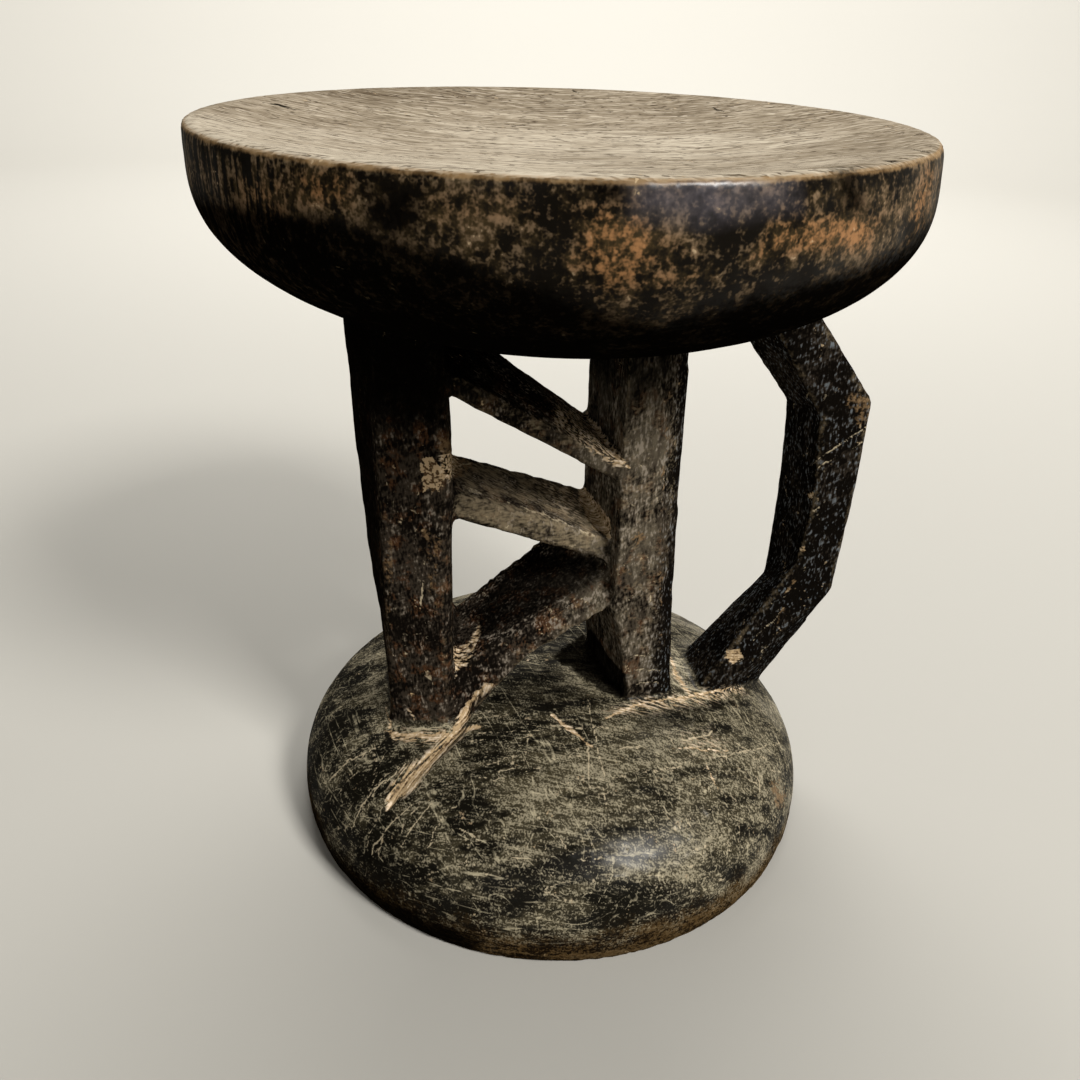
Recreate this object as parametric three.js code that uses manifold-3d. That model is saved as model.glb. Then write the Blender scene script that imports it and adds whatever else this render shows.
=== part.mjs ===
// A round wooden stool carved from one log. A dished seat and a domed base are joined by one
// upright panel: a left post, a centre post, three slanted bars between them, and a bent
// bracket that stands out to the right of the centre post.
// Millimetres, +Z up. The origin is on the floor under the middle of the seat, and the panel
// faces -Y. Heights are above the floor.

import * as THREE from "three";
import { mergeVertices } from "three/addons/utils/BufferGeometryUtils.js";
import Module from "manifold-3d";

const wasm = await Module();
wasm.setup();

const AROUND = 72;
const MERGE_WITHIN = 1e-3;

const SEAT = {
  centre: [0, 0],
  rimHeight: 349.3,
  rimRadius: 150,
  widestRadius: 150.8,
  widestDrop: 20.9,
  undersideDrop: 85.25,
  undersidePower: 2.08,
  lipWidth: 7,
  lipRound: 2.2,
  dishDepth: 13,
  dishPower: 2.3,
  ovality: 0.0115,
  ovalTurn: -0.632,
  lean: 0.0427,
  rimTilt: 0.0029,
  undersideSteps: 13,
  dishSteps: 7,
  lipSteps: 2,
};

const BASE = {
  centre: [7.2, 0.8],
  footRadius: 133.8,
  widestRadius: 136.65,
  widestHeight: 16.2,
  domeHeight: 77.5,
  domePower: 2.24,
  domeSteps: 13,
  heelSteps: 3,
};

// Posts are given in plan at a few heights. The front face starts at its left corner and runs
// along the face's turn; a facet then cuts the front right corner.
const LEFT_POST = [
  { height: 45, corner: [-74.8, -44], turn: -12.5, front: 29.5, facet: 5.5, facetTurn: 48,
    backRight: [-47, -1], backLeft: [-82.5, 2], backCut: 1 },
  { height: 95, corner: [-74.8, -44], turn: -12.5, front: 29.5, facet: 5.5, facetTurn: 48,
    backRight: [-47, -1], backLeft: [-86.4, 2], backCut: 1.5 },
  { height: 150, corner: [-74.8, -44], turn: -12.5, front: 29.5, facet: 5.5, facetTurn: 48,
    backRight: [-47.5, -1], backLeft: [-91.9, 2], backCut: 2.5 },
  { height: 210, corner: [-74.8, -44], turn: -12.5, front: 30.5, facet: 6, facetTurn: 48,
    backRight: [-48, -1], backLeft: [-95.3, 2], backCut: 4 },
  { height: 245, corner: [-74.8, -44], turn: -12.5, front: 28, facet: 5.5, facetTurn: 48,
    backRight: [-48, -1], backLeft: [-96.8, 2], backCut: 5 },
  { height: 300, corner: [-74.8, -44], turn: -12.5, front: 28, facet: 5.5, facetTurn: 48,
    backRight: [-48, -1], backLeft: [-99.5, 2], backCut: 6 },
];

const CENTRE_POST = [
  { height: 55, corner: [46.9, -30.6], turn: 20, front: 22.5, facet: 5, facetTurn: 62,
    backRight: [52, 28], backLeft: [25, 16.8], backCut: 1.5 },
  { height: 104, corner: [41.2, -30.6], turn: 19.5, front: 23.5, facet: 7, facetTurn: 50,
    backRight: [50, 28], backLeft: [22.6, 16.8], backCut: 1.5 },
  { height: 130, corner: [35.4, -30.6], turn: 19.5, front: 25.5, facet: 10, facetTurn: 48,
    backRight: [48.5, 28], backLeft: [20.6, 16.8], backCut: 1.5 },
  { height: 185, corner: [35, -30.6], turn: 22.5, front: 21, facet: 15, facetTurn: 48,
    backRight: [45, 28], backLeft: [17.8, 16.8], backCut: 1.5 },
  { height: 300, corner: [33.4, -30.6], turn: 29, front: 16, facet: 22, facetTurn: 48,
    backRight: [42, 28], backLeft: [17, 16.8], backCut: 1.5 },
];

// The bars lie in the panel, whose turn in plan is given here. Along is measured in the
// panel from the seat's axis, and depth goes back from it. Each end of a bar is an outline
// of five corners: front top, front bottom, belly, back bottom and back top.
const PANEL_TURN = 15.5;
const BARS = {
  top: [
    { along: -58, front: -33, back: 12, frontTop: 256, frontBottom: 246.6,
      belly: 244, backBottom: 252, backTop: 273.2 },
    { along: 31, front: -37.4, back: 12, frontTop: 203.5, frontBottom: 194.4,
      belly: 188, backBottom: 189, backTop: 205.5 },
  ],
  middle: [
    { along: -58, front: -28.4, back: 12, frontTop: 198.2, frontBottom: 184.7,
      belly: 181, backBottom: 187, backTop: 202 },
    { along: 31, front: -28.4, back: 12, frontTop: 160.8, frontBottom: 148,
      belly: 146, backBottom: 153, backTop: 168.6 },
  ],
  bottom: [
    { along: -58, front: -28.4, toe: -33, back: 12, frontTop: 93, frontBottom: 52,
      belly: 50, backBottom: 52, backTop: 98.5 },
    { along: -46, front: -28.4, toe: -34.5, back: 12, frontTop: 100.2, frontBottom: 70,
      belly: 66, backBottom: 74, backTop: 107.9 },
    { along: -17.5, front: -28.4, toe: -37.2, back: 12, frontTop: 117.7, frontBottom: 105.3,
      belly: 103, backBottom: 110, backTop: 130 },
    { along: 31, front: -28.4, toe: -37.6, back: 12, frontTop: 147.4, frontBottom: 133,
      belly: 134, backBottom: 146, backTop: 167.7 },
  ],
};

// The bracket lies in its own upright plane. Each station gives how far out its four edges
// stand, and their heights, from inside the base, over two elbows, to inside the seat.
const BRACKET = {
  turn: 6.5,
  front: -21.4,
  back: 18.6,
  innerCut: 3,
  stations: [
    { frontIn: [67.7, 40], frontOut: [124, 40], backOut: [122, 40], backIn: [63, 40],
      outerCut: [50, 34] },
    { frontIn: [125.6, 146], frontOut: [147.8, 128], backOut: [143.5, 122], backIn: [122.8, 119],
      outerCut: [3, 3] },
    { frontIn: [128.7, 180], frontOut: [149.6, 188], backOut: [145, 184], backIn: [123, 178],
      outerCut: [2, 2] },
    { frontIn: [125.1, 224.4], frontOut: [149.2, 232], backOut: [144.5, 229], backIn: [120.6, 219],
      outerCut: [2, 2] },
    { frontIn: [76.1, 300], frontOut: [97, 300], backOut: [93, 300], backIn: [57.6, 300],
      outerCut: [2, 2] },
  ],
};

// Offsets along a superellipse quarter, from its widest point to its crown.
function superellipseQuarter(radius, height, power, steps) {
  const points = [];
  for (let step = 0; step <= steps; step += 1) {
    const angle = (step / steps) * (Math.PI / 2);
    const across = step === steps ? 0 : radius * Math.cos(angle) ** (2 / power);
    points.push([across, height * Math.sin(angle) ** (2 / power)]);
  }
  return points;
}

// The seat's half section, from the middle of the dish over the rim to the underside.
function seatProfile() {
  const profile = [];
  const dishRadius = SEAT.rimRadius - SEAT.lipWidth;
  for (let step = 0; step <= SEAT.dishSteps; step += 1) {
    const across = dishRadius * Math.sqrt(step / SEAT.dishSteps);
    const depth = SEAT.dishDepth * (1 - (across / dishRadius) ** SEAT.dishPower);
    profile.push([across, SEAT.rimHeight - depth]);
  }
  for (let step = 0; step <= SEAT.lipSteps; step += 1) {
    const angle = (step / SEAT.lipSteps) * (Math.PI / 2);
    const across = SEAT.rimRadius - SEAT.lipRound * (1 - Math.sin(angle));
    profile.push([across, SEAT.rimHeight - SEAT.lipRound * (1 - Math.cos(angle))]);
  }
  const widestHeight = SEAT.rimHeight - SEAT.widestDrop;
  const bowlDepth = SEAT.undersideDrop - SEAT.widestDrop;
  for (const [across, down] of superellipseQuarter(
    SEAT.widestRadius, bowlDepth, SEAT.undersidePower, SEAT.undersideSteps)) {
    profile.push([across, widestHeight - down]);
  }
  return profile;
}

// The base's half section, from the middle of the flat underside over the heel to the crown.
function baseProfile() {
  const profile = [[0, 0]];
  for (let step = 0; step < BASE.heelSteps; step += 1) {
    const angle = (step / BASE.heelSteps) * (Math.PI / 2);
    const bulge = BASE.widestRadius - BASE.footRadius;
    profile.push([BASE.footRadius + bulge * Math.sin(angle), BASE.widestHeight * (1 - Math.cos(angle))]);
  }
  const rise = BASE.domeHeight - BASE.widestHeight;
  for (const [across, up] of superellipseQuarter(
    BASE.widestRadius, rise, BASE.domePower, BASE.domeSteps)) {
    profile.push([across, BASE.widestHeight + up]);
  }
  return profile;
}

// A body of revolution about +Z. A profile that runs downwards on the outside is turned
// round first, so that the faces point out.
function turned(profile, centre) {
  const upwards = profile[0][1] < profile[profile.length - 1][1] ? profile : [...profile].reverse();
  const outline = upwards.map(([across, height]) => new THREE.Vector2(across, height));
  const geometry = new THREE.LatheGeometry(outline, AROUND);
  geometry.rotateX(Math.PI / 2);
  geometry.translate(centre[0], centre[1], 0);
  return geometry;
}

// The seat is a little oval, its lower sections stand a little to the right, and its rim is
// not quite level.
function shapeSeat(geometry) {
  const positions = geometry.attributes.position;
  for (let index = 0; index < positions.count; index += 1) {
    const x = positions.getX(index);
    const y = positions.getY(index);
    const z = positions.getZ(index);
    const swell = 1 + SEAT.ovality * Math.cos(2 * (Math.atan2(y, x) - SEAT.ovalTurn));
    positions.setX(index, x * swell + SEAT.lean * (SEAT.rimHeight - z));
    positions.setY(index, y * swell);
    positions.setZ(index, z + SEAT.rimTilt * x);
  }
  return geometry;
}

// A closed body through a row of loops of corners. Each loop is convex, and all have the
// same number of corners.
function loft(loops) {
  const corners = loops[0].length;
  const last = (loops.length - 1) * corners;
  const indices = [];
  for (let ring = 0; ring < last; ring += corners) {
    for (let corner = 0; corner < corners; corner += 1) {
      const next = (corner + 1) % corners;
      indices.push(ring + corner, ring + next, ring + corners + next);
      indices.push(ring + corner, ring + corners + next, ring + corners + corner);
    }
  }
  for (let corner = 1; corner < corners - 1; corner += 1) {
    indices.push(0, corner + 1, corner);
    indices.push(last, last + corner, last + corner + 1);
  }
  const geometry = new THREE.BufferGeometry();
  geometry.setAttribute("position", new THREE.Float32BufferAttribute(loops.flat(2), 3));
  geometry.setIndex(indices);
  return geometry;
}

// A point at a distance from another, in the direction of a turn in plan.
function stepFrom([x, y], distance, turn) {
  const angle = THREE.MathUtils.degToRad(turn);
  return [x + distance * Math.cos(angle), y + distance * Math.sin(angle)];
}

// A point between two others, at a distance from the first.
function towards(start, end, distance) {
  const share = distance / Math.hypot(end[0] - start[0], end[1] - start[1]);
  return [start[0] + share * (end[0] - start[0]), start[1] + share * (end[1] - start[1])];
}

// A post's outline at one height, anticlockwise from its front left corner.
function postLoop(station) {
  const ridge = stepFrom(station.corner, station.front, station.turn);
  const facetEnd = stepFrom(ridge, station.facet, station.facetTurn);
  const outline = [
    station.corner,
    ridge,
    facetEnd,
    station.backRight,
    towards(station.backLeft, station.backRight, station.backCut),
    towards(station.backLeft, station.corner, station.backCut),
  ];
  return outline.map(([x, y]) => [x, y, station.height]);
}

// A place in an upright plane that is turned about the seat's axis.
function inPlane(along, depth, height, turn) {
  const angle = THREE.MathUtils.degToRad(turn);
  const x = along * Math.cos(angle) - depth * Math.sin(angle);
  const y = along * Math.sin(angle) + depth * Math.cos(angle);
  return [x, y, height];
}

// One end of a bar. The belly is halfway through the panel.
function barLoop(station) {
  const { along, front, back, toe = front } = station;
  const middle = (front + back) / 2;
  const outline = [
    [front, station.frontTop],
    [toe, station.frontBottom],
    [middle, station.belly],
    [back, station.backBottom],
    [back, station.backTop],
  ];
  return outline.map(([depth, height]) => inPlane(along, depth, height, PANEL_TURN));
}

// The bracket's outline at one station. Its inner back edge is cut off, and so is its outer
// front edge, which is nearly gone at the foot.
function bracketLoop({ frontOut, backOut, backIn, frontIn, outerCut }) {
  const { front, back, innerCut } = BRACKET;
  const [cutAcross, cutBack] = outerCut;
  const outline = [
    [frontIn, front],
    [towards(frontOut, frontIn, cutAcross), front],
    [frontOut, front + cutBack],
    [backOut, back],
    [towards(backIn, backOut, innerCut), back],
    [backIn, back - innerCut],
  ];
  return outline.map(([[along, height], depth]) => inPlane(along, depth, height, BRACKET.turn));
}

// A solid from a closed geometry: shared corners are merged and flat slivers dropped.
function solidFrom(geometry) {
  const bare = geometry.clone();
  bare.deleteAttribute("normal");
  bare.deleteAttribute("uv");
  const merged = mergeVertices(bare, MERGE_WITHIN);
  const corners = [];
  const source = merged.index.array;
  for (let index = 0; index < source.length; index += 3) {
    const [a, b, c] = source.slice(index, index + 3);
    if (a !== b && b !== c && c !== a) {
      corners.push(a, b, c);
    }
  }
  const mesh = new wasm.Mesh({
    numProp: 3,
    vertProperties: new Float32Array(merged.attributes.position.array),
    triVerts: new Uint32Array(corners),
  });
  return new wasm.Manifold(mesh);
}

// The geometry of a solid.
function geometryFrom(solid) {
  const mesh = solid.getMesh();
  const geometry = new THREE.BufferGeometry();
  geometry.setAttribute("position", new THREE.BufferAttribute(new Float32Array(mesh.vertProperties), 3));
  geometry.setIndex(new THREE.BufferAttribute(new Uint32Array(mesh.triVerts), 1));
  geometry.computeVertexNormals();
  return geometry;
}

// Everything is one piece of wood, so all the forms are joined into one body.
function carvedStool() {
  const forms = [
    shapeSeat(turned(seatProfile(), SEAT.centre)),
    turned(baseProfile(), BASE.centre),
    loft(LEFT_POST.map(postLoop)),
    loft(CENTRE_POST.map(postLoop)),
    loft(BARS.top.map(barLoop)),
    loft(BARS.middle.map(barLoop)),
    loft(BARS.bottom.map(barLoop)),
    loft(BRACKET.stations.map(bracketLoop)),
  ];
  const solids = forms.map(solidFrom);
  return geometryFrom(solids.reduce((joined, solid) => joined.add(solid)));
}

const agedWood = new THREE.MeshStandardMaterial({ color: 0x3a2e22, roughness: 0.62, metalness: 0 });

const stool = new THREE.Group();
const body = new THREE.Mesh(carvedStool(), agedWood);
body.name = "carved_stool";
stool.add(body);

export default stool;
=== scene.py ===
"""Looks of the carved wooden stool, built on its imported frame.

The stool is one piece of wood: a dished seat, two posts with three slanted bars between
them, a bent bracket and a domed base. The hewn surface is grown from the frame's solid,
tool marks and old damage are cut into it, and one aged wood finish covers all of it.
"""

import logging
import math
from dataclasses import dataclass, field
from enum import Enum
from typing import ClassVar, Iterator, Mapping, Sequence

import bmesh
import bpy
import numpy as np
from mathutils import Matrix, Vector
from mathutils.bvhtree import BVHTree

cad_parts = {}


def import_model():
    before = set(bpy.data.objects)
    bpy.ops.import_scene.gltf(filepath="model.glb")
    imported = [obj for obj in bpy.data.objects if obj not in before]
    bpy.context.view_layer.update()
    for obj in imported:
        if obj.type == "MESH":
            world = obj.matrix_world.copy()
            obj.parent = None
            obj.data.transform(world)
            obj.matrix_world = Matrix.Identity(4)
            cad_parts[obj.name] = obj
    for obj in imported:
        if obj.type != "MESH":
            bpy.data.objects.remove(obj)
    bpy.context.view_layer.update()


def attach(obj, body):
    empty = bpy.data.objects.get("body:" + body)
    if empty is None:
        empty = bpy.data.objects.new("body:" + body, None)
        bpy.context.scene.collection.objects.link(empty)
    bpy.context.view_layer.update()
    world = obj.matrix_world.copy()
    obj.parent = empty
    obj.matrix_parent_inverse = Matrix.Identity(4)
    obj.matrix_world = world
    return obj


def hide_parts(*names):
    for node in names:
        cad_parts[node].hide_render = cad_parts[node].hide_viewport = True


MM = 0.001
BODY = "root"
SOLID = "carved_stool"
PIECE = "stool_wood"
# Half the seat's width, in the millimetres that the finish works in.
HALF_SEAT = 150

Pixel = tuple[float, float]
Colour = tuple[float, float, float, float]

log = logging.getLogger("carved_stool")


class Trace(str, Enum):
    """What is stored at each point of the wood for the finish to read."""

    RAW = "raw_wood"
    SPLIT = "split_wood"
    SCRATCH = "scratch"
    RUB = "rubbed"
    # Dark marks: mostly painted shade and painted shadow, with some grime and dark cracks.
    GRIME_AND_SHADE = "soot"
    KNOT = "knot"
    GREY_AND_SHEEN = "greyed"
    EDGE = "worn_edge"
    SEAT = "seat_share"
    BASE = "base_share"
    RIM = "rim_reach"
    HEWN = "hewn"
    TOOL = "tool_space"


SURFACE_TRACES = (Trace.RAW, Trace.SPLIT, Trace.SCRATCH, Trace.RUB, Trace.GRIME_AND_SHADE, Trace.KNOT, Trace.GREY_AND_SHEEN)
SOFT_TRACES = (Trace.RUB, Trace.KNOT, Trace.GREY_AND_SHEEN)


def paint(code: str) -> Colour:
    """Turn a hex colour into a linear colour.

    Args:
        code: Six hex digits, red first.

    Returns:
        Red, green, blue and alpha, linear.
    """
    shares = [int(code[at : at + 2], 16) / 255 for at in (0, 2, 4)]
    linear = [s / 12.92 if s <= 0.04045 else ((s + 0.055) / 1.055) ** 2.4 for s in shares]
    return (linear[0], linear[1], linear[2], 1.0)


def smooth_step(values: np.ndarray, low: float, high: float) -> np.ndarray:
    """Ease values from 0 at low to 1 at high.

    Args:
        values: Any numbers.
        low: Where the result is 0.
        high: Where the result is 1.

    Returns:
        Numbers from 0 to 1, in the shape of values.
    """
    share = np.clip((values - low) / (high - low), 0, 1)
    return share * share * (3 - 2 * share)


# ---- Nodes ----


class Wire:
    """A node's output that takes part in Python arithmetic."""

    def __init__(self, bench: "Bench", socket: bpy.types.NodeSocket) -> None:
        """Hold an output socket and the bench that its tree stands on."""
        self.bench = bench
        self.socket = socket

    def _math(self, operation: str, *values: "Wire | float") -> "Wire":
        """Add a Math node with these values."""
        return self.bench.wire("ShaderNodeMath", {"operation": operation}, dict(enumerate(values)))

    def __add__(self, other: "Wire | float") -> "Wire":
        """Sum."""
        return self._math("ADD", self, other)

    def __radd__(self, other: float) -> "Wire":
        """Sum, with a number first."""
        return self._math("ADD", other, self)

    def __sub__(self, other: "Wire | float") -> "Wire":
        """Difference."""
        return self._math("SUBTRACT", self, other)

    def __rsub__(self, other: float) -> "Wire":
        """Difference from a number."""
        return self._math("SUBTRACT", other, self)

    def __mul__(self, other: "Wire | float") -> "Wire":
        """Product."""
        return self._math("MULTIPLY", self, other)

    def __rmul__(self, other: float) -> "Wire":
        """Product, with a number first."""
        return self._math("MULTIPLY", other, self)

    def __truediv__(self, other: "Wire | float") -> "Wire":
        """Quotient."""
        return self._math("DIVIDE", self, other)

    def __rtruediv__(self, other: float) -> "Wire":
        """Quotient of a number."""
        return self._math("DIVIDE", other, self)

    def most(self, other: "Wire") -> "Wire":
        """The larger of two values."""
        return self._math("MAXIMUM", self, other)

    def size(self) -> "Wire":
        """Value without its sign."""
        return self._math("ABSOLUTE", self)

    def eased(self, low: float, high: float) -> "Wire":
        """Ease from 0 at low to 1 at high, and stay there beyond them.

        Args:
            low: Value that gives 0.
            high: Value that gives 1. It may be below low.

        Returns:
            The eased value.
        """
        settings = {"interpolation_type": "SMOOTHSTEP"}
        ends = {1: low, 2: high, 3: 0.0, 4: 1.0} if low < high else {1: high, 2: low, 3: 1.0, 4: 0.0}
        return self.bench.wire("ShaderNodeMapRange", settings, {0: self, **ends})


class Bench:
    """A node tree with the one way in which nodes are added to it.

    FINEST is the size of the smallest cloud that a picture shows, in millimetres, and
    SPREAD is where a noise of many layers mostly lies.
    """

    MIX_COLOUR = {"factor": 0, "a": 6, "b": 7, "result": 2}
    FINEST = 0.75
    MOST_LAYERS = 3.5
    SPREAD = (0.3, 0.7)
    THREAD_CORE = 0.3

    def __init__(self, tree: bpy.types.NodeTree) -> None:
        """Work on this tree."""
        self.tree = tree

    def node(
        self,
        kind: str,
        settings: Mapping[str, object] | None = None,
        values: Mapping[int | str, object] | None = None,
    ) -> bpy.types.Node:
        """Add a node.

        Args:
            kind: The node's type.
            settings: The node's own properties, set before its sockets.
            values: Sockets by number or name, with a wire to link or a value to set.

        Returns:
            The new node.
        """
        made = self.tree.nodes.new(kind)
        for name, value in (settings or {}).items():
            setattr(made, name, value)
        for key, value in (values or {}).items():
            if isinstance(value, Wire):
                self.tree.links.new(value.socket, made.inputs[key])
            else:
                made.inputs[key].default_value = value
        return made

    def wire(
        self,
        kind: str,
        settings: Mapping[str, object] | None = None,
        values: Mapping[int | str, object] | None = None,
        output: int | str = 0,
    ) -> Wire:
        """Add a node and give one of its outputs.

        Args:
            kind: The node's type.
            settings: The node's own properties.
            values: Values and links of its sockets.
            output: The output's number or name.

        Returns:
            The output.
        """
        return Wire(self, self.node(kind, settings, values).outputs[output])

    def vector(self, operation: str, first: Wire, second: "Wire | Sequence[float]", output: int | str = 0) -> Wire:
        """Work on two vectors.

        Args:
            operation: What the Vector Math node does.
            first: The first vector.
            second: The second vector.
            output: The output's number or name.

        Returns:
            The output.
        """
        return self.wire("ShaderNodeVectorMath", {"operation": operation}, {0: first, 1: second}, output)

    def scaled(self, place: Wire, size: Sequence[float]) -> Wire:
        """Stretch a place by a size for each axis."""
        return self.vector("MULTIPLY", place, size)

    def turned(self, place: Wire, degrees: Sequence[float]) -> Wire:
        """Turn a place about the origin.

        Args:
            place: A vector.
            degrees: Turns about X, Y and Z.

        Returns:
            The turned vector.
        """
        angles = [math.radians(turn) for turn in degrees]
        return self.wire("ShaderNodeMapping", {"vector_type": "POINT"}, {"Vector": place, "Rotation": angles})

    def noise(self, place: Wire, size: "Wire | float", layers: float = 0.0, rough: float = 0.5) -> Wire:
        """Cloudy noise.

        Args:
            place: Where it is read, in the tree's own units.
            size: How large its clouds are, in the same units.
            layers: How many finer layers it has.
            rough: How strong the finer layers are.

        Returns:
            A value about a half.
        """
        values = {"Vector": place, "Scale": 1 / size, "Detail": layers, "Roughness": rough}
        return self.wire("ShaderNodeTexNoise", {"noise_dimensions": "3D"}, values)

    def mottle(self, place: Wire, size: float, rough: float) -> Wire:
        """Cloudy noise with as many finer layers as can be seen, spread evenly.

        Args:
            place: Where it is read, in millimetres.
            size: How large its clouds are, in millimetres.
            rough: How strong the finer layers are.

        Returns:
            A value from 0 to 1.
        """
        layers = min(self.MOST_LAYERS, max(0.0, math.log2(size / self.FINEST)))
        return self.noise(place, size, layers, rough).eased(*self.SPREAD)

    def threads(self, place: Wire, size: float, width: float, gate: Wire) -> Wire:
        """Thin lines that wander along wherever a smooth noise is a half.

        Args:
            place: Where they are read, squeezed along the way that they run.
            size: How far apart they are.
            width: How far from a half the noise may be on them.
            gate: Where they show, from 0 to 1.

        Returns:
            1 on the lines and 0 between them.
        """
        wave = self.noise(place, size)
        return (wave - 0.5).size().eased(width, width * self.THREAD_CORE) * gate

    def blend(self, base: "Wire | str", over: "Wire | str", share: Wire) -> Wire:
        """Mix two colours.

        Args:
            base: The colour at share 0, from a node or as a hex colour.
            over: The colour at share 1, likewise.
            share: From 0 to 1.

        Returns:
            The mixed colour.
        """
        at = self.MIX_COLOUR
        settings = {"data_type": "RGBA", "blend_type": "MIX", "clamp_factor": True}
        first, second = (paint(colour) if isinstance(colour, str) else colour for colour in (base, over))
        values = {at["factor"]: share, at["a"]: first, at["b"]: second}
        return self.wire("ShaderNodeMix", settings, values, at["result"])

    def level(self, base: "Wire | float", over: "Wire | float", share: Wire) -> "Wire | float":
        """Mix two values.

        Args:
            base: The value at share 0.
            over: The value at share 1.
            share: From 0 to 1.

        Returns:
            The mixed value, or the number itself where both are the same one.
        """
        if not isinstance(base, Wire) and not isinstance(over, Wire) and base == over:
            return base
        return self.wire("ShaderNodeMix", {"data_type": "FLOAT", "clamp_factor": True}, {0: share, 2: base, 3: over})

    def trace(self, name: Trace) -> Wire:
        """Value stored at the wood's points."""
        settings = {"attribute_name": name.value, "attribute_type": "GEOMETRY"}
        return self.wire("ShaderNodeAttribute", settings, {}, "Fac")


# ---- Camera and light ----


@dataclass(frozen=True)
class PhotoView:
    """Where the picture was taken from, as found from the stool's outlines in it."""

    place: tuple[float, float, float] = (0.0031, -0.4463, 0.3946)
    pitch_down: float = 28.73
    roll: float = 1.83
    turn_left: float = 0.70
    focal: float = 1000.0
    picture: float = 1080.0
    sensor: float = 36.0

    def axes(self) -> tuple[np.ndarray, np.ndarray, np.ndarray]:
        """Work out the view's directions.

        Returns:
            Unit vectors to the right, upwards and forwards in the picture.
        """
        pitch, roll, turn = (math.radians(a) for a in (self.pitch_down, self.roll, -self.turn_left))
        forward = np.array((math.sin(turn) * math.cos(pitch), math.cos(turn) * math.cos(pitch), -math.sin(pitch)))
        level = np.array((math.cos(turn), -math.sin(turn), 0.0))
        upright = np.cross(level, forward)
        right = math.cos(roll) * level + math.sin(roll) * upright
        up = -math.sin(roll) * level + math.cos(roll) * upright
        return right, up, forward

    def pixels(self, points: np.ndarray) -> np.ndarray:
        """Find where points are in the picture.

        Args:
            points: Places in the row frame, one a row.

        Returns:
            Pixels across and down, one point a row.
        """
        right, up, forward = self.axes()
        away = points - np.array(self.place)
        depth = away @ forward
        middle = self.picture / 2
        across = middle + self.focal * (away @ right) / depth
        down = middle - self.focal * (away @ up) / depth
        return np.stack([across, down], axis=1)

    def set_camera(self) -> bpy.types.Object:
        """Stand the scene's camera here.

        Returns:
            The camera.
        """
        lens = bpy.data.cameras.new("view")
        lens.sensor_width = self.sensor
        lens.lens = self.focal / self.picture * self.sensor
        camera = bpy.data.objects.new("view", lens)
        right, up, forward = self.axes()
        turn = Matrix([[right[i], up[i], -forward[i]] for i in range(3)])
        camera.matrix_world = Matrix.Translation(self.place) @ turn.to_4x4()
        bpy.context.scene.collection.objects.link(camera)
        bpy.context.scene.camera = camera
        return camera


@dataclass(frozen=True)
class SoftLamp:
    """One square studio lamp."""

    name: str
    place: tuple[float, float, float]
    target: tuple[float, float, float]
    side: float
    watts: float
    tint: tuple[float, float, float] = (1.0, 1.0, 1.0)

    def hang(self) -> bpy.types.Object:
        """Hang the lamp and point it at its target.

        Returns:
            The lamp.
        """
        data = bpy.data.lights.new(self.name, "AREA")
        data.shape = "SQUARE"
        data.size = self.side
        data.energy = self.watts
        data.color = self.tint
        lamp = bpy.data.objects.new(self.name, data)
        aim = Vector(self.target) - Vector(self.place)
        lamp.matrix_world = Matrix.Translation(self.place) @ aim.to_track_quat("-Z", "Y").to_matrix().to_4x4()
        bpy.context.scene.collection.objects.link(lamp)
        return lamp


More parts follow.
